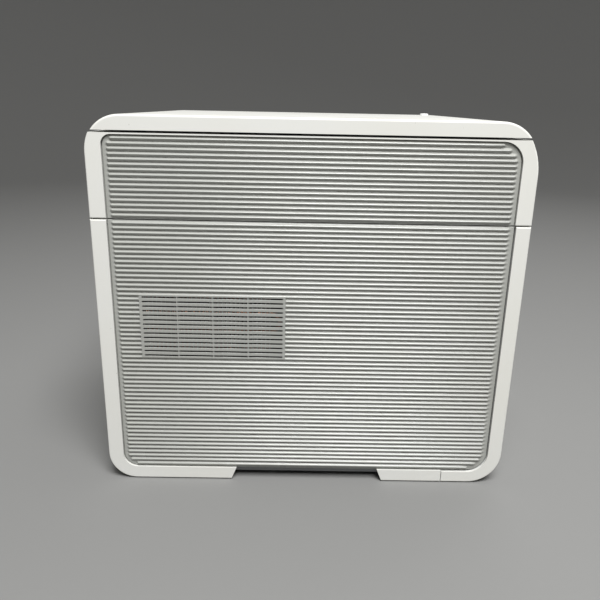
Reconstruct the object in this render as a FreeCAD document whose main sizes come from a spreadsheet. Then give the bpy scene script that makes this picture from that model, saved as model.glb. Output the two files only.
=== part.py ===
"""Compact two-compartment refrigerator with a hinged top lid over a shallow chilled tub and a hinged
front door over the main cavity. A white band wraps round the front, base and back, and fluted panels
close both sides. The machine bay is at the rear, behind the slotted part of the left panel.

Frame: X runs left to right, -Y is the front, +Z is up. The origin is the centre of the footprint on
the floor. Units are millimetres.
"""
import FreeCAD, Part

import math
import os
import re

import Sketcher

V = FreeCAD.Vector
doc = FreeCAD.newDocument("mini_fridge")
sheet = doc.addObject("Spreadsheet::Sheet", "dims")

# ---------------------------------------------------------------- driving dimensions

DIMENSIONS = [
    # outside
    ("cab_wide", 360, "overall width"),
    ("cab_deep", 450, "overall depth"),
    ("cab_high", 405, "overall height"),
    ("upper_high", 84.6, "height of the upper housing, seam to rim"),
    ("lid_thick", 15, "lid thickness"),
    ("lid_gap", 2.4, "shadow gap under the lid"),
    ("seam_gap", 1.2, "gap between upper and lower housings"),
    ("pad_high", 1, "rubber foot pads below the shells"),
    ("band_wide", 16.6, "white band seen from the side"),
    ("band_skin", 3, "wall of the white shells"),
    ("edge_round", 1.4, "rounded outer edge of the band"),
    ("sill_level", 15.4, "lower edge of the side panels"),
    ("lip_high", 1.4, "white lip above the side panels"),
    ("front_low_round", 37, "outer radius, front bottom corner"),
    ("rear_low_round", 31, "outer radius, rear bottom corner"),
    ("front_top_round", 72, "shoulder radius, front"),
    ("rear_top_round", 42, "shoulder radius, rear"),
    ("front_shoulder", 36, "height of the front shoulder below the rim"),
    ("rear_shoulder", 19, "height of the rear shoulder below the rim"),
    ("lid_front_round", 38, "lid nose radius, front"),
    ("lid_rear_round", 36, "lid nose radius, rear"),
    ("lid_front_set", 10.4, "lid nose behind the front face"),
    ("lid_rear_set", 6.8, "lid nose ahead of the rear face"),
    ("panel_front_low", 22, "side panel corner radius, front bottom"),
    ("panel_rear_low", 16, "side panel corner radius, rear bottom"),
    ("panel_front_top", 21, "side panel corner radius, front top"),
    ("panel_rear_top", 10, "side panel corner radius, rear top"),
    ("foot_front_end", 83, "inner end of the front foot, from the centre"),
    ("foot_rear_end", 79.5, "inner end of the rear foot, from the centre"),
    ("foot_slant", 5.8, "how far the foot ends slope back"),
    ("door_wrap", 67, "how far the door wraps under the cabinet"),
    ("door_gap", 1.2, "gap behind and under the cabinet edge"),
    # side panels
    ("panel_inset", 2.2, "panel face behind the band face"),
    ("panel_plate", 2.2, "panel base plate"),
    ("panel_tuck", 3, "panel plate tucked behind the band"),
    ("panel_reveal", 0.6, "gap round the panel face"),
    ("rib_pitch", 5.07, "pitch of the flutes"),
    ("rib_high", 1.9, "height of the flutes"),
    ("rib_end", 3.2, "plain border at the end of the flutes"),
    ("vent_from_rear", 30.6, "vent to the rear edge of the panel"),
    ("vent_long", 150, "length of the vent"),
    ("vent_first_row", 15, "flutes above the vent"),
    ("vent_rows", 14, "slot rows"),
    ("slot_high", 1.8, "slot height"),
    ("slot_bridge", 1.3, "bridge between slots in a row"),
    # cold box
    ("board", 28, "insulation board"),
    ("board_front", 20, "insulation board behind the controls"),
    ("liner", 2, "liner wall"),
    ("bay_deep", 204, "machine bay, from the rear face"),
    ("frame_set", 25, "front frame behind the front face"),
    ("frame_thick", 2, "front frame"),
    ("shelf_level", 150, "underside of the glass shelf"),
    ("shelf_thick", 4, "glass shelf"),
    ("bin_deep", 52, "door bins, front to back"),
    # door and lid hinges
    ("door_skin", 2.5, "door shell wall"),
    ("door_pin_side", 7, "door hinge axis from the side face"),
    ("door_pin_front", 8, "door hinge axis from the front face"),
    ("door_pin", 2.5, "door pin radius"),
    ("pin_head", 3.8, "head of the upper door pin, radius"),
    ("head_clear", 0.4, "room round the head of the upper door pin"),
    ("pin_clear", 0.06, "radial clearance of pins"),
    ("lid_pin", 1.5, "lid pin radius"),
    ("knuckle", 3.2, "lid hinge knuckle radius"),
    ("knuckle_long", 12, "one lid hinge knuckle"),
    # controls
    ("button_round", 5.5, "control button radius"),
    ("button_travel", 1.2, "control button travel"),
    ("valve_round", 6, "vacuum release button radius"),
    # machine bay
    ("comp_round", 50, "compressor can radius"),
    ("comp_high", 104, "compressor can height"),
    ("fan_size", 92, "square fan frame"),
    ("fan_thick", 25, "fan frame depth"),
]
for row, (alias, number, meaning) in enumerate(DIMENSIONS, start=1):
    sheet.set(f"A{row}", meaning)
    sheet.set(f"B{row}", str(number))
    sheet.setAlias(f"B{row}", alias)
doc.recompute()

# Values worked out from the driving dimensions. Each may use the ones above it.
DERIVED = {
    "half_wide": "cab_wide / 2",
    "half_deep": "cab_deep / 2",
    "lid_low": "cab_high - lid_thick",
    "rim": "lid_low - lid_gap",
    "upper_low": "rim - upper_high",
    "lower_top": "upper_low - seam_gap",
    "panel_half": "half_deep - band_wide",
    "panel_top": "rim - lip_high",
    "panel_face": "half_wide - panel_inset",
    "plate_out": "half_wide - band_skin - 0.1",
    "plate_in": "plate_out - panel_plate",
    "door_back": "half_deep - band_wide + door_gap",
    "wrap_end": "half_deep - door_wrap",
    "wrap_top": "sill_level - door_gap",
    "frame_face": "half_deep - frame_set",
    "frame_back": "frame_face - frame_thick",
    "bulkhead": "half_deep - bay_deep",
    "floor_out": "sill_level + 6.6",
    "cold_low": "floor_out + board + liner",
    "roof_out": "lower_top - 2",
    "cold_top": "roof_out - board - liner",
    "cold_side": "plate_in - board - liner",
    "cold_back": "bulkhead - board - liner",
    "tub_low": "upper_low + 2 + board + liner",
    "tub_front": "half_deep - band_skin - 16 - board_front - liner",
    "tub_rear": "half_deep - band_skin - board - liner",
    "tub_top": "rim - band_skin",
    "pin_x": "half_wide - door_pin_side",
    "pin_y": "half_deep - door_pin_front",
    "vent_rear": "panel_half - vent_from_rear",
    "vent_front": "vent_rear - vent_long",
    "first_groove": "lower_top - 1.12 * rib_pitch",
    "vent_high": "first_groove - vent_first_row * rib_pitch",
    "vent_low": "vent_high - (vent_rows - 1) * rib_pitch",
    "vent_mid_y": "(vent_rear + vent_front) / 2",
    "vent_mid_z": "(vent_high + vent_low) / 2",
    "lid_axis_y": "half_deep - 5.5",
    "lid_axis_z": "lid_low - 3.6",
    "pan_low": "7",
    "pan_top": "pan_low + 2.5",
    "grille_low": "102",
    "grille_high": "lower_top - 54",
    "inlet_x": "-110",
    "inlet_z": "50",
    "switch_x": "inlet_x + 27",
    "handle_x": "14 - half_wide",
    "handle_z": "lower_top - 95",
    "handle_deep": "band_wide - door_gap - liner - 1",
    "arm_low": "floor_out + 16",
    "arm_top": "arm_low + 3",
    "bin_side": "cold_side - 31",
    "bin_front": "door_back - 2",
    "bin_low_level": "cold_low + 10",
    "bin_high_level": "shelf_level + 18",
    "seal_in": "cold_side + 2",
    "seal_out": "cold_side + 9",
    "bezel_z": "upper_low + 26",
    "front_drop": "sqrt(lid_thick * (2 * lid_front_round - lid_thick))",
    "rear_drop": "sqrt(lid_thick * (2 * lid_rear_round - lid_thick))",
    "nose_front": "lid_front_set - (lid_front_round - front_drop)",
    "nose_rear": "lid_rear_set - (lid_rear_round - rear_drop)",
    "valve_x": "half_wide - 45",
    "valve_y": "57 - half_deep",
    "comp_x": "half_wide - 108",
    "comp_y": "half_deep - 92",
    "comp_low": "pan_top + 9",
    "comp_top": "comp_low + comp_high",
    "core_x": "5 - plate_in",
    "core_low": "vent_low - 6",
    "fan_x": "core_x + 27",
    "fan_half": "fan_size / 2",
}
ALIASES = {alias for alias, _, _ in DIMENSIONS}


def formula(text):
    """The expression for a bound property: derived names expanded, sheet aliases prefixed."""

    def expand(match):
        word = match.group(0)
        if word in DERIVED:
            return "(" + formula(DERIVED[word]) + ")"
        return "dims." + word if word in ALIASES else word

    return re.sub(r"[A-Za-z_][A-Za-z_0-9]*", expand, str(text))


def value(text):
    """The number that an expression has now."""
    found = sheet.evalExpression(formula(text))
    return float(getattr(found, "Value", found))


# ---------------------------------------------------------------- building blocks

made = {}


def fresh(stem):
    made[stem] = made.get(stem, 0) + 1
    return f"{stem}_{made[stem]}"


def bind(target, **settings):
    for name, text in settings.items():
        target.setExpression(name.replace("__", "."), formula(text))


def place(target, x, y, z):
    bind(target, Placement__Base__x=x, Placement__Base__y=y, Placement__Base__z=z)


def box(x, y, z):
    """A box between two formulas along each axis."""
    solid = doc.addObject("Part::Box", fresh("box"))
    for name, (low, high) in (("Length", x), ("Width", y), ("Height", z)):
        bind(solid, **{name: f"({high}) - ({low})"})
    place(solid, x[0], y[0], z[0])
    return solid


TURNS = {
    "x": FreeCAD.Rotation(V(0, 1, 0), 90),
    "y": FreeCAD.Rotation(V(1, 0, 0), -90),
    "z": FreeCAD.Rotation(),
}


def rod(axis, centre, span, radius):
    """A cylinder along an axis: centre holds the two other coordinates, in X, Y, Z order."""
    solid = doc.addObject("Part::Cylinder", fresh("rod"))
    bind(solid, Radius=radius, Height=f"({span[1]}) - ({span[0]})")
    solid.Placement = FreeCAD.Placement(V(0, 0, 0), TURNS[axis])
    where = list(centre)
    where.insert("xyz".index(axis), span[0])
    place(solid, *where)
    return solid


def cut(base, *tools):
    result = doc.addObject("Part::Cut", fresh("cut"))
    result.Base = base
    result.Tool = tools[0] if len(tools) == 1 else fuse(*tools)
    return result


def fuse(*solids):
    if len(solids) == 1:
        return solids[0]
    result = doc.addObject("Part::MultiFuse", fresh("fuse"))
    result.Shapes = list(solids)
    result.Refine = True
    return result


def common(first, second):
    result = doc.addObject("Part::Common", fresh("common"))
    result.Base = first
    result.Tool = second
    return result


def compound(*solids):
    """Separate solids kept as one group, such as like fasteners."""
    result = doc.addObject("Part::Compound", fresh("group"))
    result.Links = list(solids)
    return result


CORNERS = {"front_low": (0, 0), "rear_low": (1, 0), "front_top": (0, 1), "rear_top": (1, 1)}


def prism(x, y, z, rounds=None, edge=None):
    """A sketched Y-Z rectangle padded along X, with rounded corners and, if asked, rounded end edges."""
    body = doc.addObject("PartDesign::Body", fresh("prism"))
    place(body, x[0], y[0], z[0])
    origin = {f.Role: f for f in body.Origin.OriginFeatures}
    sketch = body.newObject("Sketcher::SketchObject", fresh("outline"))
    sketch.AttachmentSupport = [(origin["YZ_Plane"], "")]
    sketch.MapMode = "FlatFace"
    long, high = value(f"({y[1]}) - ({y[0]})"), value(f"({z[1]}) - ({z[0]})")
    points = [V(0, 0, 0), V(long, 0, 0), V(long, high, 0), V(0, high, 0)]
    for k in range(4):
        sketch.addGeometry(Part.LineSegment(points[k], points[(k + 1) % 4]), False)
    for k in range(4):
        sketch.addConstraint(Sketcher.Constraint("Coincident", k, 2, (k + 1) % 4, 1))
        sketch.addConstraint(Sketcher.Constraint(("Horizontal", "Vertical")[k % 2], k))
    sketch.addConstraint(Sketcher.Constraint("Coincident", 0, 1, -1, 1))
    for kind, line, name, size, text in (
        ("DistanceX", 0, "run", long, f"({y[1]}) - ({y[0]})"),
        ("DistanceY", 1, "rise", high, f"({z[1]}) - ({z[0]})"),
    ):
        index = sketch.addConstraint(Sketcher.Constraint(kind, line, 1, line, 2, size))
        sketch.renameConstraint(index, name)
        sketch.setExpression("Constraints." + name, formula(text))
    pad = body.newObject("PartDesign::Pad", fresh("pad"))
    pad.Profile = sketch
    bind(pad, Length=f"({x[1]}) - ({x[0]})")
    doc.recompute()
    last = pad
    for corner, radius in (rounds or {}).items():
        at_y, at_z = CORNERS[corner][0] * long, CORNERS[corner][1] * high
        last = rounded(body, last, radius, lambda e: on_corner(e, at_y, at_z))
    if edge:
        wide = value(f"({x[1]}) - ({x[0]})")
        last = rounded(body, last, edge, lambda e: on_ends(e, wide))
    return body


def rounded(body, base, radius, wanted):
    names = [f"Edge{k + 1}" for k, e in enumerate(base.Shape.Edges) if wanted(e)]
    fillet = body.newObject("PartDesign::Fillet", fresh("fillet"))
    fillet.Base = (base, names)
    fillet.Radius = value(radius)
    bind(fillet, Radius=radius)
    doc.recompute()
    return fillet


def on_corner(edge, y, z):
    """The edge runs along X through this corner."""
    return all(abs(p.Point.y - y) < 1e-6 and abs(p.Point.z - z) < 1e-6 for p in edge.Vertexes)


def on_ends(edge, wide):
    """The edge lies in one of the two end faces of a prism."""
    xs = [p.Point.x for p in edge.Vertexes]
    return all(abs(x) < 1e-6 for x in xs) or all(abs(x - wide) < 1e-6 for x in xs)


def made_shape(stem, shape):
    """A feature whose shape comes from Part's own functions."""
    feature = doc.addObject("Part::Feature", fresh(stem))
    feature.Shape = shape
    return feature


pieces = []


def piece(label, solid):
    """Names the finished piece."""
    solid.Label = label
    pieces.append(solid)
    return solid


def spread(low, high, count):
    """Evenly spaced formulas from low to high."""
    return [f"({low}) + (({high}) - ({low})) * {k / (count - 1)}" for k in range(count)]


# ---------------------------------------------------------------- white band: rear shell, foot, door

ALL_WIDE = ("-half_wide", "half_wide")
BEYOND = ("-half_wide - 1", "half_wide + 1")
INSIDE = ("band_skin - half_wide", "half_wide - band_skin")
LOW_ROUNDS = {"front_low": "front_low_round", "rear_low": "rear_low_round"}


def lower_envelope():
    return prism(
        ALL_WIDE, ("-half_deep", "half_deep"), ("pad_high", "lower_top"), LOW_ROUNDS, "edge_round"
    )


def lower_hollow(wall, x, top):
    """The inside of the lower envelope, a wall in from its outer face."""
    rounds = {"front_low": f"front_low_round - {wall}", "rear_low": f"rear_low_round - {wall}"}
    return prism(
        x, (f"{wall} - half_deep", f"half_deep - {wall}"), (f"pad_high + {wall}", top), rounds
    )


def panel_window(x):
    """Where a lower side panel shows: everything inside the band."""
    rounds = {"front_low": "panel_front_low", "rear_low": "panel_rear_low"}
    return prism(x, ("-panel_half", "panel_half"), ("sill_level", "lower_top + 1"), rounds)


def slanted_end(sign, end):
    """The space between the feet, on one side: its outer end leans so the foot is longer at its top."""
    y0, y1 = value(f"{sign} * ({end})"), value(f"{sign} * (({end}) + foot_slant)")
    low, high = value("pad_high"), value("sill_level")
    reach = value("half_wide") + 1
    slope = (y1 - y0) / (high - low)
    points = [
        V(-reach, 0, low - 5),
        V(-reach, y1 + slope * 5, low - 5),
        V(-reach, y0, high),
        V(-reach, y0, high + 400),
        V(-reach, 0, high + 400),
    ]
    face = Part.Face(Part.makePolygon(points + points[:1]))
    return made_shape("foot_end", face.extrude(V(2 * reach, 0, 0)))


RIB_X = (("-126", "-120"), ("120", "126"))


def rear_shell():
    ring = cut(
        lower_envelope(),
        lower_hollow("band_skin", INSIDE, "lower_top + 1"),
        panel_window(BEYOND),
        box(BEYOND, ("-half_deep - 1", "0"), ("0", "lower_top + 1")),
        slanted_end(1, "foot_rear_end"),
    )
    opened = cut(
        ring,
        # shallow recess and through opening for the grille
        box(("-140", "140"), ("half_deep - 1.6", "half_deep + 1"), ("grille_low - 10", "grille_high + 10")),
        box(("-130", "130"), ("half_deep - 5", "half_deep + 1"), ("grille_low", "grille_high")),
        box(
            ("inlet_x - 14.2", "switch_x + 10.2"),
            ("half_deep - 5", "half_deep + 1"),
            ("inlet_z - 10.2", "inlet_z + 10.2"),
        ),
    )
    ribs = [
        box(x, ("foot_rear_end + 14", "half_deep - 24"), ("pad_high + band_skin - 0.5", "pan_low"))
        for x in RIB_X
    ]
    bosses = [
        rod("y", (x, z), ("half_deep - 12", "half_deep - band_skin"), "4")
        for x in ("-135", "135")
        for z in ("grille_low - 5", "grille_high + 5")
    ]
    holes = [
        rod("y", (x, z), ("half_deep - 11", "half_deep + 1"), "1.5")
        for x in ("-135", "135")
        for z in ("grille_low - 5", "grille_high + 5")
    ]
    return piece("rear_shell", cut(fuse(opened, *bosses, *ribs), *holes))



rear_shell()

front_foot = cut(
    lower_envelope(),
    lower_hollow("band_skin", INSIDE, "lower_top + 1"),
    panel_window(BEYOND),
    box(BEYOND, ("-half_deep - 1", "0.8 - wrap_end"), ("0", "lower_top + 1")),
    box(BEYOND, ("0", "half_deep + 1"), ("0", "lower_top + 1")),
    slanted_end(-1, "foot_front_end"),
)
front_wall = box(
    INSIDE,
    ("0.8 - wrap_end", "0.8 + band_skin - wrap_end"),
    ("pad_high + band_skin - 0.5", "sill_level - 0.4"),
)
front_ribs = [
    box(x, ("6 - wrap_end", "-foot_front_end - 14"), ("pad_high + band_skin - 0.5", "pan_low")) for x in RIB_X
]
piece("front_foot", fuse(front_foot, front_wall, *front_ribs))

piece(
    "foot_pads",
    compound(
        *[
            rod("z", (x, y), ("0", "pad_high"), "9")
            for x in ("-half_wide + 28", "half_wide - 28")
            for y in ("-wrap_end + 22", "half_deep - 50")
        ]
    ),
)

# ---------------------------------------------------------------- door


def behind_door(forward, x=BEYOND):
    """The cabinet side of the door's back face, grown forward by a distance."""
    rounds = {"front_low": f"panel_front_low + door_gap + {forward}"}
    return prism(
        x,
        (f"-door_back - {forward}", "half_deep + 1"),
        (f"wrap_top - {forward}", "lower_top + 1"),
        rounds,
    )


def past_wrap():
    return box(BEYOND, ("-wrap_end", "half_deep + 1"), ("-1", "lower_top + 1"))


def door_inside():
    """The space inside the door's outer skin."""
    return cut(
        lower_hollow(
            "door_skin", ("door_skin - half_wide", "half_wide - door_skin"), "lower_top - door_skin"
        ),
        box(BEYOND, ("-wrap_end - door_skin", "half_deep + 1"), ("-1", "lower_top + 1")),
    )


HANDLE_X = ("handle_x", "handle_x + 30")
HANDLE_Z = ("handle_z - 55", "handle_z + 55")


def hinge_notch():
    """The corner slot that clears the lower hinge arm as the door swings."""
    return box(
        ("pin_x - 4.2", "half_wide + 1"),
        ("1.1 - half_deep", "5 - door_back"),
        ("arm_low - 1", "arm_top + 1"),
    )


def hinge_blocks():
    """Solid corners of the door that hold the two bushings."""
    x = ("half_wide - 16", "half_wide")
    y = ("-half_deep - 1", "12 - door_back")
    return box(x, y, ("lower_top - 18", "lower_top + 1")), box(x, y, ("wrap_top - 1", "arm_top + 16"))


def pin_bore(low, high, radius):
    return rod("z", ("pin_x", "-pin_y"), (low, high), radius)


def hinge_relief():
    """A rebate along the door's back edge on the hinge side, so that it clears the cabinet as it turns."""
    return behind_door("2.4", ("half_wide - 3", "half_wide + 1"))


door_shell = cut(
    cut(lower_envelope(), behind_door("0"), past_wrap()),
    cut(door_inside(), *hinge_blocks()),
    box(HANDLE_X, ("-half_deep - 1", "handle_deep + 0.2 - half_deep"), HANDLE_Z),
    hinge_notch(),
    hinge_relief(),
    pin_bore("lower_top - 14", "lower_top + 1", "4.5"),
    pin_bore("arm_top", "arm_top + 12", "4.5"),
)
piece("door_shell", door_shell)

BUSH_SPANS = (("lower_top - 14", "lower_top"), ("arm_top + 1", "arm_top + 12"))
bushes = [
    cut(pin_bore(low, high, "4.5"), pin_bore(f"{low} - 1", f"{high} + 1", "door_pin + pin_clear"))
    for low, high in BUSH_SPANS
]
piece("door_bushings", compound(*bushes))

door_core = cut(
    common(door_inside(), cut(lower_envelope(), behind_door("2"))),
    *hinge_blocks(),
    hinge_notch(),
    hinge_relief(),
    box(
        ("handle_x - 2", "handle_x + 32"),
        ("-half_deep - 1", "handle_deep + 0.1 - half_deep"),
        ("handle_z - 57", "handle_z + 57"),
    ),
)
piece("door_insulation", door_core)

# Inner panel of the door: a sheet that closes the back, with two dikes that carry the bins.
door_sheet = cut(
    common(common(door_inside(), cut(lower_envelope(), behind_door("0"))), behind_door("2")),
    *hinge_blocks(),
    hinge_notch(),
    hinge_relief(),
)
inner_parts = [door_sheet]
for dike, peg in (
    (("bin_side + 3", "bin_side + 17"), ("bin_side + 0.3", "bin_side + 3.5")),
    (("-bin_side - 17", "-bin_side - 3"), ("-bin_side - 3.5", "-bin_side - 0.3")),
):
    inner_parts.append(box(dike, ("-door_back - 0.5", "18 - door_back"), ("cold_low + 6", "cold_top - 8")))
    for level in ("bin_low_level", "bin_high_level"):
        inner_parts.append(box(peg, ("4 - door_back", "14 - door_back"), (f"{level} + 24", f"{level} + 28")))
piece("door_liner", fuse(*inner_parts))


def bin_tray(level, high, label):
    """An open tray with two ears that rest on the pegs of the door liner."""
    y = ("-bin_front + 0.5", "-bin_front + bin_deep")
    outer = box(("-bin_side", "bin_side"), y, (level, f"{level} + {high}"))
    inner = box(
        ("2 - bin_side", "bin_side - 2"),
        (f"({y[0]}) + 2", f"({y[1]}) - 2"),
        (f"{level} + 2", f"{level} + {high} + 1"),
    )
    ears = [
        box(x, ("-door_back + 4", "-door_back + 14"), (f"{level} + 28", f"{level} + 34"))
        for x in (("bin_side - 1", "bin_side + 2.5"), ("-bin_side - 2.5", "1 - bin_side"))
    ]
    return piece(label, fuse(cut(outer, inner), *ears))


bin_tray("bin_low_level", "40", "door_bin_lower")
bin_tray("bin_high_level", "38", "door_bin_upper")

# Magnetic gasket round the mouth
piece(
    "door_gasket",
    cut(
        box(
            ("-seal_out", "seal_out"),
            ("-door_back", "-frame_face - 0.4"),
            ("cold_low - 8", "cold_top + 8"),
        ),
        box(("-seal_in", "seal_in"), ("-door_back - 1", "1 - frame_face"), ("cold_low - 1", "cold_top + 1")),
    ),
)

# Grey finger pull set into the door front near its free edge
piece(
    "handle_insert",
    cut(
        box(
            ("handle_x + 0.1", "handle_x + 29.9"),
            ("0.4 - half_deep", "handle_deep - half_deep"),
            ("handle_z - 54.9", "handle_z + 54.9"),
        ),
        prism(
            ("handle_x + 1.6", "handle_x + 28.4"),
            ("-half_deep - 1", "handle_deep - 1.5 - half_deep"),
            ("handle_z - 53.4", "handle_z + 53.4"),
            {"rear_low": "6", "rear_top": "6"},
        ),
    ),
)

# ---------------------------------------------------------------- door hinge metal

ARM = ("arm_low", "arm_top")
bracket = fuse(
    # plate on the front frame, arm to the axis, round nose and pin
    box(
        ("pin_x - 13", "plate_in - 0.5"), ("-frame_face - 2", "-frame_face"), ("arm_low - 1", "arm_top + 11")
    ),
    box(("pin_x - 3.5", "plate_in - 0.5"), ("-pin_y", "-frame_face - 1"), ARM),
    box(("pin_x - 3.5", "pin_x + 3.5"), ("-pin_y", "1 - door_back"), ARM),
    rod("z", ("pin_x", "-pin_y"), ARM, "3.5"),
    rod("z", ("pin_x", "-pin_y"), ("arm_low", "arm_top + 11"), "door_pin"),
)
piece("lower_hinge_bracket", bracket)

top_pin = fuse(
    rod("z", ("pin_x", "-pin_y"), ("lower_top - 11", "upper_low + 2"), "door_pin"),
    rod("z", ("pin_x", "-pin_y"), ("upper_low + 2", "upper_low + 4"), "pin_head"),
)
piece("upper_hinge_pin", top_pin)

# ---------------------------------------------------------------- side panels


def flutes(side, y, z_low, rows, outline):
    """Convex ridges in a vertical pattern, trimmed to an outline."""
    body = doc.addObject("PartDesign::Body", fresh("flutes"))
    place(body, "0", y[0], z_low)
    origin = {f.Role: f for f in body.Origin.OriginFeatures}
    sketch = body.newObject("Sketcher::SketchObject", fresh("ridge"))
    sketch.AttachmentSupport = [(origin["XZ_Plane"], "")]
    sketch.MapMode = "FlatFace"
    base, tip = value("panel_face") - 0.5, value("panel_face + rib_high")
    pitch = value("rib_pitch")
    overlap = 0.06 * pitch
    low, high = V(side * base, -overlap, 0), V(side * base, pitch + overlap, 0)
    middle = V(side * tip, pitch / 2, 0)
    sketch.addGeometry(Part.Arc(low, middle, high), False)
    sketch.addGeometry(Part.LineSegment(high, low), False)
    pad = body.newObject("PartDesign::Pad", fresh("ridge_pad"))
    pad.Profile = sketch
    bind(pad, Length=f"({y[1]}) - ({y[0]})")
    pad.Reversed = True
    doc.recompute()
    pattern = body.newObject("PartDesign::LinearPattern", fresh("ridge_pattern"))
    pattern.Originals = [pad]
    pattern.Direction = (origin["Z_Axis"], [""])
    bind(pattern, Length=f"rib_pitch * (({rows}) - 1)", Occurrences=rows)
    body.Tip = pattern
    return common(body, outline)


def side_panel(side, low, high, rounds, vented=False):
    """Base plate tucked behind the band, raised face, flutes and, if vented, the slotted field."""

    def across(inner, outer):
        return (inner, outer) if side > 0 else (f"-({outer})", f"-({inner})")

    def slab(inner, outer, front, rear, below, above):
        """A slab of the panel's outline, grown by its own distance on each edge."""
        extra = {"front": front, "rear": rear}
        return prism(
            across(inner, outer),
            (f"-panel_half - ({front})", f"panel_half + ({rear})"),
            (f"{low} - ({below})", f"{high} + ({above})"),
            {corner: f"{r} + ({extra[corner.split('_')[0]]})" for corner, r in rounds.items()},
        )

    at_foot = "front_low" in rounds
    # the plate tucks behind the fixed parts of the band, never behind the door
    tuck = ("-panel_reveal", "panel_tuck", "0", "0") if at_foot else ("panel_tuck", "panel_tuck", "0", "-1.2")
    plate = slab("plate_in", "plate_out", *tuck)
    gap = "-panel_reveal"
    face = slab("plate_out - 0.5", "panel_face", gap, gap, gap if at_foot else "0", "0" if at_foot else gap)
    ends = ("-rib_end", "-0.3") if at_foot else ("-0.3", "-rib_end * 0.6")
    outline = slab("panel_face - 1", "half_wide", "-rib_end", "-rib_end", *ends)
    reach = "first_groove - sill_level" if at_foot else "upper_high"
    rows = f"floor(({reach}) / rib_pitch) + 2"
    start = f"first_groove - rib_pitch * (({rows}) - 1)" if at_foot else "upper_low - 0.82 * rib_pitch"
    ridges = flutes(side, ("-panel_half", "panel_half"), start, rows, outline)
    if not vented:
        return fuse(plate, face, ridges)
    field = box(
        across("panel_face - 0.5", "panel_face + rib_high - 0.15"),
        ("vent_front - 2.5", "vent_rear + 2.5"),
        ("vent_low - 0.5 * rib_pitch", "vent_high + 0.5 * rib_pitch"),
    )
    slots = []
    step = value("vent_long / 4")
    bridge, tall = value("slot_bridge"), value("slot_high")
    for k in range(round(value("vent_rows"))):
        level = value("vent_high") - k * value("rib_pitch")
        for n in range(4):
            start_y = value("vent_front") + n * step + bridge / 2
            corner = V(side * value("plate_out") - 6, start_y, level - tall / 2)
            slots.append(Part.makeBox(12, step - bridge, tall, corner))
    tool = made_shape("slots", Part.makeCompound(slots))
    return cut(fuse(plate, face, ridges, field), tool)


LOWER_ROUNDS = {"front_low": "panel_front_low", "rear_low": "panel_rear_low"}
UPPER_ROUNDS = {"front_top": "panel_front_top", "rear_top": "panel_rear_top"}
piece("lower_panel_left", side_panel(-1, "sill_level", "lower_top", LOWER_ROUNDS, vented=True))
piece("lower_panel_right", side_panel(1, "sill_level", "lower_top", LOWER_ROUNDS))
piece("upper_panel_left", side_panel(-1, "upper_low", "panel_top", UPPER_ROUNDS))
# the head of the door pin keeps its room beside the panel's tucked edge
head_room = rod("z", ("pin_x", "-pin_y"), ("upper_low + 1.5", "upper_low + 4.5"), "pin_head + head_clear")
piece("upper_panel_right", cut(side_panel(1, "upper_low", "panel_top", UPPER_ROUNDS), head_room))

# ---------------------------------------------------------------- lower cabinet

piece(
    "base_pan",
    cut(
        box(
            ("4 - plate_in", "plate_in - 4"),
            ("5 - wrap_end", "half_deep - 21"),
            ("pan_low", "floor_out"),
        ),
        box(
            ("6.5 - plate_in", "plate_in - 6.5"),
            ("7.5 - wrap_end", "half_deep - 23.5"),
            ("pan_top", "floor_out + 1"),
        ),
    ),
)

SIDE_L = ("-plate_in", "board - plate_in")
SIDE_R = ("plate_in - board", "plate_in")
CORE_WIDE = ("-plate_in", "plate_in")
CORE_Y = ("-frame_back", "bulkhead")
WALL_Z = ("floor_out + board", "roof_out - board")
LINER_X = ("board - plate_in", "plate_in - board")
floor_board = cut(
    box(CORE_WIDE, CORE_Y, ("floor_out", "floor_out + board")),
    box(BEYOND, ("-frame_back - 1", "8 - frame_back"), ("floor_out - 1", "floor_out + 5")),
)
boards = [
    floor_board,
    box(CORE_WIDE, CORE_Y, ("roof_out - board", "roof_out")),
    box(SIDE_L, CORE_Y, WALL_Z),
    box(SIDE_R, CORE_Y, WALL_Z),
    box(LINER_X, ("bulkhead - board", "bulkhead"), WALL_Z),
]
piece("cabinet_insulation", compound(*boards))

liner_tub = cut(
    box(LINER_X, ("-frame_back", "bulkhead - board"), WALL_Z),
    box(("-cold_side", "cold_side"), ("-frame_face - 1", "cold_back"), ("cold_low", "cold_top")),
)
rails = [
    box(x, ("62 - frame_face", "cold_back - 8"), ("shelf_level - 4", "shelf_level"))
    for x in (("-cold_side - 1", "6 - cold_side"), ("cold_side - 6", "cold_side + 1"))
]
piece("cabinet_liner", fuse(liner_tub, *rails))

piece(
    "front_frame",
    cut(
        box(CORE_WIDE, ("-frame_face", "-frame_back"), ("floor_out + 4", "roof_out")),
        box(("-cold_side", "cold_side"), ("-frame_face - 1", "1 - frame_back"), ("cold_low", "cold_top")),
    ),
)
piece("bulkhead", box(CORE_WIDE, ("bulkhead", "bulkhead + 1.2"), ("floor_out", "roof_out")))

piece(
    "evaporator_plate",
    fuse(
        box(("-105", "105"), ("cold_back - 9", "cold_back - 6"), ("shelf_level + 12", "cold_top - 14")),
        *[
            box(("-98", "98"), ("cold_back - 11", "cold_back - 8"), (f"{level} - 3", f"{level} + 3"))
            for level in spread("shelf_level + 24", "cold_top - 26", 5)
        ],
        *[
            rod("y", (x, z), ("cold_back - 7", "cold_back"), "4")
            for x in ("-101", "101")
            for z in ("shelf_level + 18", "cold_top - 20")
        ],
    ),
)
SHELF_X = ("0.8 - cold_side", "cold_side - 0.8")
piece(
    "glass_shelf",
    box(SHELF_X, ("62 - frame_face", "cold_back - 12"), ("shelf_level", "shelf_level + shelf_thick")),
)
piece(
    "shelf_trim",
    box(
        SHELF_X, ("58 - frame_face", "62 - frame_face"), ("shelf_level - 3", "shelf_level + shelf_thick + 1")
    ),
)
DRAWER_Y = ("62 - frame_face", "cold_back - 6")
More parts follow.
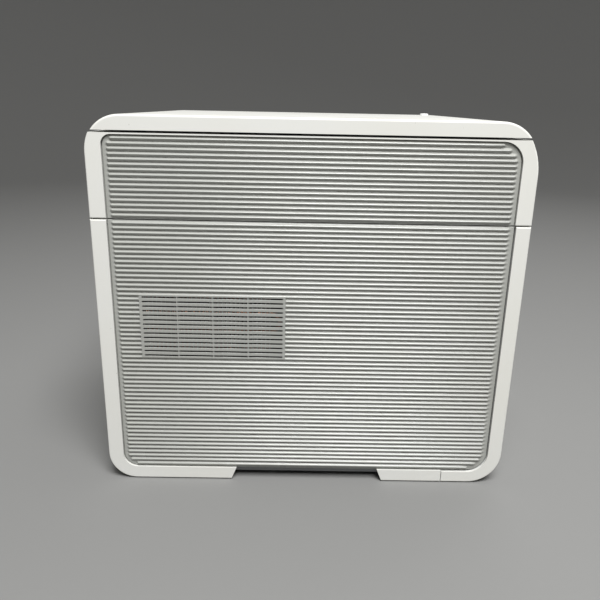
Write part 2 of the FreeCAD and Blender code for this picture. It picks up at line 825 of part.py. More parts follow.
piece(
    "crisper_drawer",
    cut(
        box(("7 - cold_side", "cold_side - 7"), DRAWER_Y, ("cold_low", "cold_low + 60")),
        box(
            ("9.5 - cold_side", "cold_side - 9.5"),
            ("65 - frame_face", "cold_back - 8.5"),
            ("cold_low + 2.5", "cold_low + 61"),
        ),
        rod("y", ("0", "cold_low + 62"), ("61 - frame_face", "66 - frame_face"), "22"),
    ),
)
piece(
    "interior_lamp",
    prism(
        ("-32", "32"),
        ("34 - frame_face", "60 - frame_face"),
        ("cold_top - 7", "cold_top"),
        {"front_low": "3", "rear_low": "3"},
    ),
)

# ---------------------------------------------------------------- upper housing

def upper_form(x, inset, low, top, edge=None):
    """The upper housing's form, some distance in from its face: two blocks, each with one shoulder
    rounded, in common, and cut level before the arcs have turned right over."""

    def block(corner, radius, shoulder):
        return prism(
            x,
            (f"({inset}) - half_deep", f"half_deep - ({inset})"),
            (low, f"rim - {shoulder} + {radius} - ({inset})"),
            {corner: f"{radius} - ({inset})"},
            edge,
        )

    both = common(
        block("front_top", "front_top_round", "front_shoulder"),
        block("rear_top", "rear_top_round", "rear_shoulder"),
    )
    return cut(both, box(BEYOND, ("-half_deep - 1", "half_deep + 1"), (top, "rim + front_top_round")))


HINGE_X = ("-0.6 * half_wide", "0.6 * half_wide")


def hinge_pockets(wall):
    """Room for the lid's hinge knuckles in the housing's rear top edge, grown by a wall."""
    half = f"1.5 * knuckle_long + 1.5 + {wall}"
    return [
        box(
            (f"{centre} - ({half})", f"{centre} + {half}"),
            (f"lid_axis_y - knuckle - 0.8 - {wall}", "half_deep + 1"),
            (f"lid_axis_z - knuckle - 0.5 - {wall}", "rim + 1"),
        )
        for centre in HINGE_X
    ]


upper_hollow = upper_form(INSIDE, "band_skin", "upper_low - 1", "rim - band_skin")
BEZEL_X = ("-72", "72")


def upper_window(x):
    return prism(x, ("-panel_half", "panel_half"), ("upper_low - 1", "panel_top"), UPPER_ROUNDS)


piece(
    "upper_housing",
    cut(
        fuse(
            cut(upper_form(ALL_WIDE, "0", "upper_low", "rim", "edge_round"), upper_hollow),
            *[
                common(walls, upper_form(ALL_WIDE, "0.5", "upper_low", "rim"))
                for walls in hinge_pockets("1.5")
            ],
        ),
        *hinge_pockets("0"),
        upper_window(("plate_in", "half_wide + 1")),
        upper_window(("-half_wide - 1", "-plate_in")),
        box(("-cold_side", "cold_side"), ("-tub_front", "tub_rear"), ("rim - 10", "rim + 1")),
        box(BEZEL_X, ("-half_deep - 1", "-half_deep + 5"), ("bezel_z - 14", "bezel_z + 14")),
    ),
)
spacers = [
    box(x, y, ("roof_out", "upper_low + 1"))
    for x in (("-150", "-120"), ("120", "150"))
    for y in (("20 - frame_back", "44 - frame_back"), ("bulkhead - 34", "bulkhead - 10"))
]
piece(
    "upper_base_plate",
    cut(
        fuse(
            box(
                CORE_WIDE, ("band_skin - half_deep", "half_deep - band_skin"), ("upper_low", "upper_low + 2")
            ),
            *spacers,
        ),
        rod("z", ("pin_x", "-pin_y"), ("upper_low - 1", "upper_low + 3"), "door_pin"),
    ),
)
TUB_FLOOR = ("upper_low + 2", "upper_low + 2 + board")
WALLS_Z = ("upper_low + 2 + board", "tub_top")
FRONT_BOARD = ("-tub_front - liner - board_front", "-tub_front - liner")
REAR_BOARD = ("tub_rear + liner", "half_deep - band_skin - 0.5")
shoulders = cut(
    upper_form(ALL_WIDE, "band_skin + 0.2", "upper_low", "tub_top"), *hinge_pockets("1.7")
)
upper_boards = [
    box(CORE_WIDE, (FRONT_BOARD[0], REAR_BOARD[1]), TUB_FLOOR),
    box(SIDE_L, (FRONT_BOARD[1], REAR_BOARD[0]), WALLS_Z),
    box(SIDE_R, (FRONT_BOARD[1], REAR_BOARD[0]), WALLS_Z),
    common(box(CORE_WIDE, FRONT_BOARD, WALLS_Z), shoulders),
    common(box(CORE_WIDE, REAR_BOARD, WALLS_Z), shoulders),
]
piece("upper_insulation", compound(*upper_boards))
piece(
    "upper_liner",
    cut(
        box(LINER_X, ("-tub_front - liner", "tub_rear + liner"), WALLS_Z),
        box(("-cold_side", "cold_side"), ("-tub_front", "tub_rear"), ("tub_low", "tub_top + 1")),
    ),
)

# ---------------------------------------------------------------- controls

BUTTONS = {"button_power": "14", "button_colder": "36", "button_warmer": "58"}
BEZEL_Z = ("bezel_z - 13.8", "bezel_z + 13.8")
bezel = fuse(
    box(("-71.8", "71.8"), ("0.5 - half_deep", "band_skin - half_deep"), BEZEL_Z),
    box(
        ("-77", "77"), ("band_skin - half_deep", "band_skin + 2 - half_deep"), ("bezel_z - 18", "bezel_z + 18")
    ),
    *[
        rod("y", (x, "bezel_z"), ("band_skin + 1 - half_deep", "11.4 - half_deep"), "3")
        for x in ("-66", "70")
    ],
)
window_hole = box(("-60", "-8"), ("-half_deep", "2 - half_deep"), ("bezel_z - 9", "bezel_z + 9"))
button_holes = [
    rod("y", (x, "bezel_z"), ("-half_deep - 1", "8 - half_deep"), "button_round + 0.3")
    for x in BUTTONS.values()
]
piece("control_bezel", cut(bezel, window_hole, *button_holes))
WINDOW_Z = ("bezel_z - 8.8", "bezel_z + 8.8")
piece("display_window", box(("-59.8", "-8.2"), ("0.5 - half_deep", "2 - half_deep"), WINDOW_Z))
switches = [
    box((f"{x} - 3", f"{x} + 3"), ("10.2 - half_deep", "11.6 - half_deep"), ("bezel_z - 3", "bezel_z + 3"))
    for x in BUTTONS.values()
]
piece(
    "control_board",
    fuse(
        box(("-74", "74"), ("11.4 - half_deep", "13 - half_deep"), ("bezel_z - 16", "bezel_z + 16")),
        *switches,
    ),
)
for label, x in BUTTONS.items():
    piece(
        label,
        fuse(
            rod("y", (x, "bezel_z"), ("-half_deep", "8.8 - half_deep"), "button_round"),
            rod("y", (x, "bezel_z"), ("5.3 - half_deep", "6.3 - half_deep"), "button_round + 1.5"),
        ),
    )

# ---------------------------------------------------------------- lid



def lid_block(inset, low):
    """The lid's outer form, a distance in from its surface, above a level."""
    rounds = {"front_top": f"lid_front_round - {inset}", "rear_top": f"lid_rear_round - {inset}"}
    full = prism(
        (f"{inset} - half_wide", f"half_wide - {inset}"),
        (f"nose_front + {inset} - half_deep", f"half_deep - nose_rear - {inset}"),
        ("cab_high - 90", f"cab_high - {inset}"),
        rounds,
        "2.2" if inset == "0" else None,
    )
    return cut(full, box(BEYOND, ("-half_deep - 80", "half_deep + 80"), ("cab_high - 95", low)))


VALVE = ("valve_x", "valve_y")


def valve(low, high, radius):
    return rod("z", VALVE, (low, high), radius)


PLUG_X = ("6 - cold_side", "cold_side - 6")
PLUG_Y = ("5 - tub_front", "tub_rear - 5")
PLUG_CORE_X = ("8 - cold_side", "cold_side - 8")
plug_core = box(PLUG_CORE_X, ("7 - tub_front", "tub_rear - 7"), ("lid_low - 10", "lid_low + 2"))
piece(
    "lid_shell",
    cut(
        lid_block("0", "lid_low"),
        lid_block("door_skin", "lid_low - 1"),
        valve("lid_low", "cab_high + 1", "valve_round + 0.3"),
    ),
)
piece(
    "lid_insulation",
    cut(
        fuse(lid_block("door_skin", "lid_low + 2"), plug_core),
        valve("lid_low - 12", "cab_high + 1", "valve_round + 3"),
    ),
)
lid_sheet = common(
    lid_block("door_skin", "lid_low"), box(ALL_WIDE, ("-half_deep", "half_deep"), ("lid_low", "lid_low + 2"))
)
plug = box(PLUG_X, PLUG_Y, ("lid_low - 12", "lid_low + 1"))
piece("lid_liner", cut(fuse(lid_sheet, plug), plug_core, valve("lid_low - 14", "lid_low + 3", "2.2")))
piece(
    "lid_gasket",
    cut(
        box(("-seal_out", "seal_out"), ("-tub_front - 9", "tub_rear + 9"), ("rim + 0.3", "lid_low")),
        box(("-seal_in", "seal_in"), ("-tub_front - 2", "tub_rear + 2"), ("rim - 1", "lid_low + 1")),
    ),
)
piece(
    "vacuum_release_button",
    fuse(
        valve("cab_high - 6", "cab_high + 2.6", "valve_round"),
        valve("cab_high - 6", "cab_high - 4.4", "valve_round + 1.6"),
        valve("lid_low - 11", "cab_high - 5", "2"),
    ),
)





def knuckle_spans(first):
    """Spans along X of the alternate knuckles of both lid hinges: 0 for the housing's, 1 for the lid's."""
    steps = (0,) if first == 1 else (-1, 1)
    return [
        (f"{centre} + ({k} - 0.5) * knuckle_long + 0.15", f"{centre} + ({k} + 0.5) * knuckle_long - 0.15")
        for centre in HINGE_X
        for k in steps
    ]


def knuckles(first):
    solids = []
    for span in knuckle_spans(first):
        barrel = rod("x", ("lid_axis_y", "lid_axis_z"), span, "knuckle")
        if first == 1:
            leaf = box(span, ("lid_axis_y - knuckle", "lid_axis_y - 0.6"), ("lid_axis_z", "lid_low"))
        else:
            leaf = box(span, ("half_deep - 22", "lid_axis_y"), ("lid_axis_z - knuckle", "lid_axis_z - 0.6"))
        reach = (f"{span[0]} - 1", f"{span[1]} + 1")
        bore = rod("x", ("lid_axis_y", "lid_axis_z"), reach, "lid_pin + pin_clear")
        solid = cut(fuse(barrel, leaf), bore)
        # the housing's leaves start at the shoulder
        shoulder = cut(upper_form(ALL_WIDE, "0", "upper_low", "rim"), *hinge_pockets("0"))
        solids.append(solid if first == 1 else cut(solid, shoulder))
    return compound(*solids)


piece("housing_hinge_knuckles", knuckles(0))
piece("lid_hinge_knuckles", knuckles(1))
piece(
    "lid_hinge_pins",
    compound(
        *[
            rod(
                "x",
                ("lid_axis_y", "lid_axis_z"),
                (f"{c} - 1.5 * knuckle_long - 1", f"{c} + 1.5 * knuckle_long + 1"),
                "lid_pin",
            )
            for c in HINGE_X
        ]
    ),
)

# ---------------------------------------------------------------- machine bay



def compressor():
    body = doc.addObject("PartDesign::Body", fresh("can"))
    place(body, "comp_x", "comp_y", "comp_low")
    can = body.newObject("PartDesign::AdditiveCylinder", fresh("can_drum"))
    bind(can, Radius="comp_round", Height="comp_high")
    doc.recompute()
    rims = [f"Edge{k + 1}" for k, e in enumerate(can.Shape.Edges) if e.Closed]
    fillet = body.newObject("PartDesign::Fillet", fresh("can_round"))
    fillet.Base = (can, rims)
    bind(fillet, Radius="comp_round * 0.56")
    fillet.Radius = value("comp_round * 0.56")
    doc.recompute()
    plate = box(
        ("comp_x - 62", "comp_x + 62"), ("comp_y - 42", "comp_y + 42"), ("comp_low", "comp_low + 2.5")
    )
    middle = "comp_low + comp_high / 2"
    belt = rod("z", ("comp_x", "comp_y"), (f"{middle} - 3", f"{middle} + 3"), "comp_round + 2")
    cover = box(
        ("comp_x - comp_round - 16", "comp_x - comp_round + 4"),
        ("comp_y - 20", "comp_y + 20"),
        ("comp_low + 36", "comp_low + 80"),
    )
    stubs = [
        rod("z", (f"comp_x + {dx}", "comp_y - 22"), ("comp_top - 14", "comp_top + 16"), "3.2")
        for dx in (-20, 20)
    ]
    holes = [
        rod("z", (f"comp_x + {dx}", f"comp_y + {dy}"), ("comp_low - 1", "comp_low + 4"), "5")
        for dx in (-54, 54)
        for dy in (-34, 34)
    ]
    return cut(fuse(body, plate, belt, cover, *stubs), *holes)


piece("compressor", compressor())
grommets = []
for dx in (-54, 54):
    for dy in (-34, 34):
        at = (f"comp_x + {dx}", f"comp_y + {dy}")
        grommets.append(
            fuse(
                rod("z", at, ("pan_top", "comp_low"), "8"),
                rod("z", at, ("comp_low", "comp_low + 4"), "4.8"),
                rod("z", at, ("comp_low + 2.6", "comp_low + 5"), "7.5"),
            )
        )
piece("compressor_grommets", compound(*grommets))


def condenser():
    """A stack of thin fins on a serpentine tube, standing behind the slotted panel."""
    x0, x1 = value("core_x"), value("core_x + 22")
    y0, y1 = value("vent_front + 14"), value("vent_rear")
    z0, z1 = value("core_low"), value("vent_high + 6")
    count, thick = 30, 0.6
    levels = [z0 + (z1 - z0) * (k + 0.5) / 4 for k in range(4)]
    middle = (x0 + x1) / 2
    fins = []
    for k in range(count):
        y = y0 + (y1 - y0 - thick) * k / (count - 1)
        fin = Part.makeBox(x1 - x0, thick, z1 - z0, V(x0, y, z0))
        holes = [Part.makeCylinder(3.2, 4, V(middle, y - 2, z), V(0, 1, 0)) for z in levels]
        fins.append(fin.cut(Part.makeCompound(holes)))
    bend = (levels[1] - levels[0]) / 2
    edges = []
    for k, z in enumerate(levels):
        a, b = V(middle, y0 - 1, z), V(middle, y1 + 1, z)
        start, end = (a, b) if k % 2 == 0 else (b, a)
        edges.append(Part.LineSegment(start, end).toShape())
        if k < len(levels) - 1:
            out = bend if k % 2 == 0 else -bend
            far, above = V(middle, end.y + out, z + bend), V(middle, end.y, z + 2 * bend)
            edges.append(Part.Arc(end, far, above).toShape())
    path = Part.Wire(edges)
    ring = Part.Wire([Part.makeCircle(3, V(middle, y0 - 1, levels[0]), V(0, 1, 0))])
    tube = path.makePipeShell([ring], True, False)
    return Part.makeCompound(fins), tube


fin_stack, serpentine = condenser()
piece("condenser_fins", made_shape("fins", fin_stack))
piece("condenser_tube", made_shape("serpentine", serpentine))

FAN_MID = ("vent_mid_y", "vent_mid_z")
FAN_X = ("fan_x", "fan_x + fan_thick")
FAN_BACK = ("fan_x + fan_thick - 3", "fan_x + fan_thick")
FAN_Y = ("vent_mid_y - fan_half", "vent_mid_y + fan_half")
FAN_Z = ("vent_mid_z - fan_half", "vent_mid_z + fan_half")
fan_body = cut(
    box(FAN_X, FAN_Y, FAN_Z),
    rod("x", FAN_MID, ("fan_x - 1", "fan_x + fan_thick + 1"), "fan_half - 3"),
)
struts = [
    rod("x", FAN_MID, FAN_BACK, "17"),
    box(FAN_BACK, ("vent_mid_y - 2", "vent_mid_y + 2"), (f"{FAN_Z[0]} + 1", f"{FAN_Z[1]} - 1")),
    box(FAN_BACK, (f"{FAN_Y[0]} + 1", f"{FAN_Y[1]} - 1"), ("vent_mid_z - 2", "vent_mid_z + 2")),
    rod("x", FAN_MID, ("fan_x + 8", "fan_x + fan_thick - 2"), "2"),
]
piece("fan_frame", fuse(fan_body, *struts))
LEG_X = ("core_x + 2", "core_x + 24")
piece(
    "condenser_bracket",
    fuse(
        # shelf under the fins, step down to the fan's ledge, two legs to the pan
        box(LEG_X, ("vent_front", "vent_rear"), ("core_low - 2", "core_low")),
        box(("core_x + 24", "core_x + 26"), FAN_Y, ("vent_mid_z - fan_half - 2", "core_low")),
        box(
            ("core_x + 24", "fan_x + fan_thick"), FAN_Y, ("vent_mid_z - fan_half - 2", "vent_mid_z - fan_half")
        ),
        box(LEG_X, ("vent_front", "vent_front + 1.5"), ("pan_top", "core_low - 1")),
        box(LEG_X, ("vent_rear - 1.5", "vent_rear"), ("pan_top", "core_low - 1")),
    ),
)


def fan_rotor():
    """A cupped hub with seven pitched blades, turning on the frame's post."""
    x0 = value("fan_x")
    y, z = value("vent_mid_y"), value("vent_mid_z")
    thick = value("fan_thick")
    tip = value("fan_size") / 2 - 5
    hub = Part.makeCylinder(16, thick - 7, V(x0 + 3, y, z), V(1, 0, 0))
    hub = hub.cut(Part.makeCylinder(2.05, thick, V(x0 + 7, y, z), V(1, 0, 0)))
    ring = Part.makeCylinder(tip, thick - 8, V(x0 + 3.5, y, z), V(1, 0, 0))
    blades = []
    for k in range(7):
        blade = Part.makeBox(30, 1.6, tip + 4, V(-15, -0.8, 12))
        blade.rotate(V(0, 0, 0), V(0, 0, 1), 48)
        blade.rotate(V(0, 0, 0), V(1, 0, 0), 360 * k / 7)
        blade.translate(V(x0 + 3 + (thick - 7) / 2, y, z))
        blades.append(blade.common(ring))
    return hub.fuse(blades).removeSplitter()


piece("fan_rotor", made_shape("rotor", fan_rotor()))


def pipe(points, radius, bend):
    """A tube along straight runs joined by tangent arcs."""
    edges, start = [], points[0]
    for before, corner, after in zip(points, points[1:], points[2:]):
        a, b = (before - corner).normalize(), (after - corner).normalize()
        half = a.getAngle(b) / 2
        reach = bend / math.tan(half)
        first, last = corner + a * reach, corner + b * reach
        axis = (a + b).normalize()
        middle = corner + axis * (bend / math.sin(half) - bend)
        edges.append(Part.LineSegment(start, first).toShape())
        edges.append(Part.Arc(first, middle, last).toShape())
        start = last
    edges.append(Part.LineSegment(start, points[-1]).toShape())
    ring = Part.Wire([Part.makeCircle(radius, points[0], points[1] - points[0])])
    return Part.Wire(edges).makePipeShell([ring], True, False)


def lines():
    """Discharge line to the drier, capillary on to the cold wall, and suction line back."""
    cx, cy = value("comp_x"), value("comp_y")
    top = value("comp_top + 16")
    wall = value("bulkhead + 1.2")
    discharge = [
        V(cx - 20, cy - 22, top),
        V(cx - 20, cy - 22, top + 24),
        V(cx - 20, cy + 30, top + 24),
        V(cx - 96, cy + 30, top + 24),
    ]
    capillary = [
        V(cx - 148, cy + 30, top + 24),
        V(cx - 170, cy + 30, top + 24),
        V(cx - 170, wall, top + 24),
    ]
    suction = [
        V(cx + 20, cy - 22, top),
        V(cx + 20, cy - 22, top + 30),
        V(cx + 20, wall, top + 30),
    ]
    return pipe(discharge, 2.4, 12), pipe(capillary, 1.4, 10), pipe(suction, 3.2, 12)


piece("refrigerant_lines", made_shape("lines", Part.makeCompound(lines())))
piece("filter_drier", rod("x", ("comp_y + 30", "comp_top + 40"), ("comp_x - 148", "comp_x - 96"), "7"))
piece(
    "evaporation_tray",
    cut(
        box(("comp_x - 14", "comp_x + 60"), ("comp_y - 8", "comp_y + 56"), ("comp_top", "comp_top + 16")),
        box(("comp_x - 12", "comp_x + 58"), ("comp_y - 6", "comp_y + 54"), ("comp_top + 2", "comp_top + 17")),
    ),
)
BOARD_Z = ("lower_top - 92", "lower_top - 22")
piece(
    "power_board",
    fuse(
        box(("half_wide - 120", "half_wide - 20"), ("bulkhead + 9", "bulkhead + 10.6"), BOARD_Z),
        box(
            ("half_wide - 112", "half_wide - 78"),
            ("bulkhead + 10", "bulkhead + 34"),
            ("lower_top - 84", "lower_top - 54"),
        ),
        box(
            ("half_wide - 66", "half_wide - 50"),
            ("bulkhead + 10", "bulkhead + 26"),
            ("lower_top - 46", "lower_top - 30"),
        ),
        *[
            rod("y", (x, z), ("bulkhead + 1.2", "bulkhead + 10"), "3")
            for x in ("half_wide - 115", "half_wide - 25")
            for z in ("lower_top - 87", "lower_top - 27")
        ],
    ),
)

# ---------------------------------------------------------------- rear face

GRILLE_SCREWS = [(x, z) for x in ("-135", "135") for z in ("grille_low - 5", "grille_high + 5")]
grille = cut(
    box(("-139.7", "139.7"), ("half_deep - 1.6", "half_deep"), ("grille_low - 9.7", "grille_high + 9.7")),
    *[rod("y", at, ("half_deep - 3", "half_deep + 1"), "1.7") for at in GRILLE_SCREWS],
    *[rod("y", at, ("half_deep - 1", "half_deep + 1"), "3.4") for at in GRILLE_SCREWS],
)
slot_rows = [
    box((f"{c} - 38", f"{c} + 38"), ("half_deep - 3", "half_deep + 1"), (f"{level} - 2", f"{level} + 2"))
    for c in ("-84", "0", "84")
    for level in spread("grille_low + 8", "grille_high - 8", 14)
]
piece("rear_grille", cut(grille, *slot_rows))
screws = [
    fuse(
        rod("y", at, ("half_deep - 1", "half_deep - 0.1"), "3.2"),
        rod("y", at, ("half_deep - 10", "half_deep - 0.5"), "1.45"),
    )
    for at in GRILLE_SCREWS
]
piece("rear_screws", compound(*screws))

# Inlet socket and switch well share one snapped-in case
INLET_FACE = "half_deep - 0.2"
inlet_case = cut(
    fuse(
        box(
            ("inlet_x - 14", "switch_x + 10"), ("half_deep - 18", INLET_FACE), ("inlet_z - 10", "inlet_z + 10")
        ),
        box(
            ("inlet_x - 19", "switch_x + 15"),
            ("half_deep - band_skin - 2.5", "half_deep - band_skin"),
            ("inlet_z - 14", "inlet_z + 14"),
        ),
    ),
    box(
        ("inlet_x - 12", "inlet_x + 12"), ("half_deep - 15", "half_deep + 1"), ("inlet_z - 8", "inlet_z + 8")
    ),
    box(
        ("switch_x - 8", "switch_x + 8"),
        ("half_deep - 13", "half_deep + 1"),
        ("inlet_z - 5.5", "inlet_z + 5.5"),
    ),
    rod("x", ("half_deep - 6", "inlet_z"), ("switch_x - 9.4", "switch_x + 9.4"), "1.8 + pin_clear"),
)
blades = [
    box(
        (f"inlet_x + {dx} - 1", f"inlet_x + {dx} + 1"),
        ("half_deep - 15.5", "half_deep - 3"),
        (f"inlet_z + {dz} - 2", f"inlet_z + {dz} + 2"),
    )
    for dx, dz in ((-7, -1.5), (7, -1.5), (0, 3))
]
piece("power_inlet", fuse(inlet_case, *blades))


def rocker():
    """A dished rocker on its cross pin, at rest pressed in at one end."""
    x, y, z = value("switch_x"), value("half_deep - 6"), value("inlet_z")
    block = Part.makeBox(14.6, 4.6, 9.4, V(x - 7.3, y, z - 4.7))
    dish = Part.makeCylinder(12, 16, V(x - 8, y + 15.4, z), V(1, 0, 0))
    pin = Part.makeCylinder(1.8, 18, V(x - 9, y, z), V(1, 0, 0))
    solid = block.cut(dish).fuse(pin)
    solid.rotate(V(x, y, z), V(1, 0, 0), -7)
    return solid


piece("power_rocker", made_shape("rocker", rocker()))

# ---------------------------------------------------------------- check and write

doc.recompute()
for item in doc.Objects:
    if any(word in ("Invalid", "Error") for word in item.State):
        raise RuntimeError(f"{item.Name} failed: {item.State}")
os.makedirs("parts", exist_ok=True)
for item in pieces:
    shape = item.Shape
    if shape.isNull() or not shape.isValid() or not shape.Solids:
        raise RuntimeError(f"{item.Label} has no valid shape")
    shape.exportStep(f"parts/{item.Label}.step")
print(f"{len(pieces)} pieces written")
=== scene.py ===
import bmesh
import bpy
import numpy as np
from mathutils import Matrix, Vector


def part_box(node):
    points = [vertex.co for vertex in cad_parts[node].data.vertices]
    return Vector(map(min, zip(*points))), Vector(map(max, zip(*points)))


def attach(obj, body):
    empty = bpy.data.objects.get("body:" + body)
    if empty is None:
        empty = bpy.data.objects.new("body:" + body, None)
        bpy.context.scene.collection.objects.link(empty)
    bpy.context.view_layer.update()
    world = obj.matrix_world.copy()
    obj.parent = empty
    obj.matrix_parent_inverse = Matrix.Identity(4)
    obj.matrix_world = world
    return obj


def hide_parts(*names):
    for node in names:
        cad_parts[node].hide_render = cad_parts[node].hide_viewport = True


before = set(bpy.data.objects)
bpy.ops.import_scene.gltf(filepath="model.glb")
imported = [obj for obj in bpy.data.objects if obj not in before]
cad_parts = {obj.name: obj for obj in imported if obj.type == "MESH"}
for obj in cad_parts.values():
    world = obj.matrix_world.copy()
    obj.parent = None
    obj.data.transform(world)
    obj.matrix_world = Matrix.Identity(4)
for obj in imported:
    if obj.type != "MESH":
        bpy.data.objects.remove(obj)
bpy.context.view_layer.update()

# ------------------------------------------------------------------------------------------- studio
# A seamless pale sweep: flat floor under the fridge that curves up into a wall all round, lit by a
# strong soft box high on the left, a weak one high on the right and a weak even sky.


def surface(name, grid, loop=False, flip=False, drop=None):
    """Points on a grid (rows, columns, xyz) become a mesh: each face joins (i, j), (i + 1, j),
    (i + 1, j + 1) and (i, j + 1). loop joins the last column to the first, flip turns the faces over,
    and drop marks the faces left out."""
    grid = np.asarray(grid, float)
    rows, columns = grid.shape[:2]
    index = np.arange(rows * columns).reshape(rows, columns)
    if loop:
        index = np.concatenate([index, index[:, :1]], axis=1)
    faces = np.stack([index[:-1, :-1], index[1:, :-1], index[1:, 1:], index[:-1, 1:]], axis=-1)
    if flip:
        faces = faces[..., ::-1]
    faces = faces[~drop] if drop is not None else faces.reshape(-1, 4)
    mesh = bpy.data.meshes.new(name)
    mesh.from_pydata(grid.reshape(-1, 3).tolist(), [], faces.tolist())
    piece = bpy.data.objects.new(name, mesh)
    bpy.context.scene.collection.objects.link(piece)
    return piece


def closed(piece, crease=38, outward=False):
    """Merges seams and poles, drops faces of no size and shades smooth except at edges sharper than the
    crease. outward turns the faces of a closed shape to point out."""
    work = bmesh.new()
    work.from_mesh(piece.data)
    bmesh.ops.remove_doubles(work, verts=work.verts, dist=2e-6)
    bmesh.ops.dissolve_degenerate(work, edges=work.edges, dist=1e-6)
    if outward:
        bmesh.ops.recalc_face_normals(work, faces=work.faces)
    work.to_mesh(piece.data)
    work.free()
    piece.data.shade_smooth()
    piece.data.set_sharp_from_angle(angle=np.radians(crease))
    return piece


def turned(profile, steps, axis="z", centre=(0.0, 0.0)):
    """A profile of (radius, height) pairs turned round an axis: x = r cos a, y = r sin a, z = h, with the
    three swapped for the other axes. The centre is given in the two directions across the axis."""
    profile = np.asarray(profile, float)
    angle = np.linspace(0, 2 * np.pi, steps, endpoint=False)
    first = centre[0] + profile[:, :1] * np.cos(angle)
    second = centre[1] + profile[:, :1] * np.sin(angle)
    along = np.repeat(profile[:, 1:], steps, axis=1)
    order = {"x": (along, first, second), "y": (first, along, second), "z": (first, second, along)}[axis]
    return np.stack(order, axis=-1)


sweep_arc = np.linspace(0, np.pi / 2, 16)
sweep_line = np.concatenate(
    [
        [[0.0, 0.0], [0.6, 0.0], [1.6, 0.0]],
        np.stack([2.8 + 2.2 * np.sin(sweep_arc), 2.2 - 2.2 * np.cos(sweep_arc)], axis=1),
        [[5.0, 3.4]],
    ]
)
floor = closed(surface("studio_sweep", turned(sweep_line, 96), loop=True, flip=True))
sweep_finish = bpy.data.materials.new("pale_paper")
sweep_finish.use_nodes = True
paper = sweep_finish.node_tree.nodes["Principled BSDF"]
paper.inputs["Base Color"].default_value = (0.24, 0.24, 0.235, 1)
paper.inputs["Roughness"].default_value = 0.75
floor.data.materials.append(sweep_finish)

camera = bpy.data.objects.new("camera", bpy.data.cameras.new("camera"))
camera.location = (-0.8047, 0.0158, 0.4177)
camera.rotation_euler = np.radians([72.434, -1.103, -90.195])
camera.data.lens = 37.2
camera.data.sensor_width = 36
bpy.context.scene.collection.objects.link(camera)
bpy.context.scene.camera = camera

for lamp_name, place, turn, wide, watts in (
    ("soft_box_side", (-1.45, -0.3, 2.6), (0.553, 0.0, -1.367), 1.3, 116),
    ("soft_box_top", (1.3, -0.9, 2.3), (0.645, 0.0, 0.965), 1.6, 14),
):
    lamp = bpy.data.objects.new(lamp_name, bpy.data.lights.new(lamp_name, "AREA"))
    lamp.data.shape = "SQUARE"
    lamp.data.size = wide
    lamp.data.energy = watts
    lamp.location = place
    lamp.rotation_euler = turn
    bpy.context.scene.collection.objects.link(lamp)
sky = bpy.data.worlds.new("even_sky")
sky.use_nodes = True
sky.node_tree.nodes["Background"].inputs["Color"].default_value = (1.0, 0.99, 0.965, 1)
sky.node_tree.nodes["Background"].inputs["Strength"].default_value = 0.24
bpy.context.scene.world = sky
bpy.context.scene.view_settings.view_transform = "Standard"

# --------------------------------------------------------------------------------- base pan and pads
# A pressed steel pan with a turned-up rim carries the cabinet boards and the compressor. It is dipped
# grey, and screwed up through four turned rubber pads.


def shader_group(name, inputs, outputs):
    """An empty node group with named inputs (name, default) and outputs (name, kind)."""
    group = bpy.data.node_groups.new(name, "ShaderNodeTree")
    for label, default in inputs:
        kind = "NodeSocketColor" if isinstance(default, tuple) else "NodeSocketFloat"
        group.interface.new_socket(label, in_out="INPUT", socket_type=kind).default_value = default
    for label, kind in outputs:
        group.interface.new_socket(label, in_out="OUTPUT", socket_type=kind)
    return group, group.nodes.new("NodeGroupInput"), group.nodes.new("NodeGroupOutput")


def node(tree, kind, links=(), **settings):
    """A node with its settings, and links given as (input, the socket that feeds it)."""
    made = tree.nodes.new(kind)
    for label, number in settings.items():
        setattr(made, label, number)
    for slot, source in links:
        if isinstance(source, (int, float, tuple)):
            made.inputs[slot].default_value = source
        else:
            tree.links.new(source, made.inputs[slot])
    return made


def grain_group():
    """Fine grain: noise at a scale, mixed with a coarser ripple, as a height between 0 and 1, and a
    roughness that moves with it by the spread."""
    inputs = (("Scale", 900.0), ("Ripple Scale", 40.0), ("Ripple", 0.2), ("Rough", 0.4), ("Spread", 0.1))
    group, enter, leave = shader_group(
        "fine_grain", inputs, (("Height", "NodeSocketFloat"), ("Roughness", "NodeSocketFloat"))
    )
    place = node(group, "ShaderNodeTexCoord").outputs["Object"]
    fine = node(
        group, "ShaderNodeTexNoise", [("Vector", place), ("Scale", enter.outputs["Scale"]), ("Detail", 3.0)]
    )
    coarse = node(
        group,
        "ShaderNodeTexNoise",
        [("Vector", place), ("Scale", enter.outputs["Ripple Scale"]), ("Detail", 2.0)],
    )
    both = node(
        group,
        "ShaderNodeMix",
        [(0, enter.outputs["Ripple"]), (2, fine.outputs["Fac"]), (3, coarse.outputs["Fac"])],
    )
    wave = node(group, "ShaderNodeMath", [(0, coarse.outputs["Fac"]), (1, 0.5)], operation="SUBTRACT")
    shift = node(
        group,
        "ShaderNodeMath",
        [(0, wave.outputs[0]), (1, enter.outputs["Spread"]), (2, enter.outputs["Rough"])],
        operation="MULTIPLY_ADD",
    )
    group.links.new(both.outputs[0], leave.inputs["Height"])
    group.links.new(shift.outputs[0], leave.inputs["Roughness"])
    return group


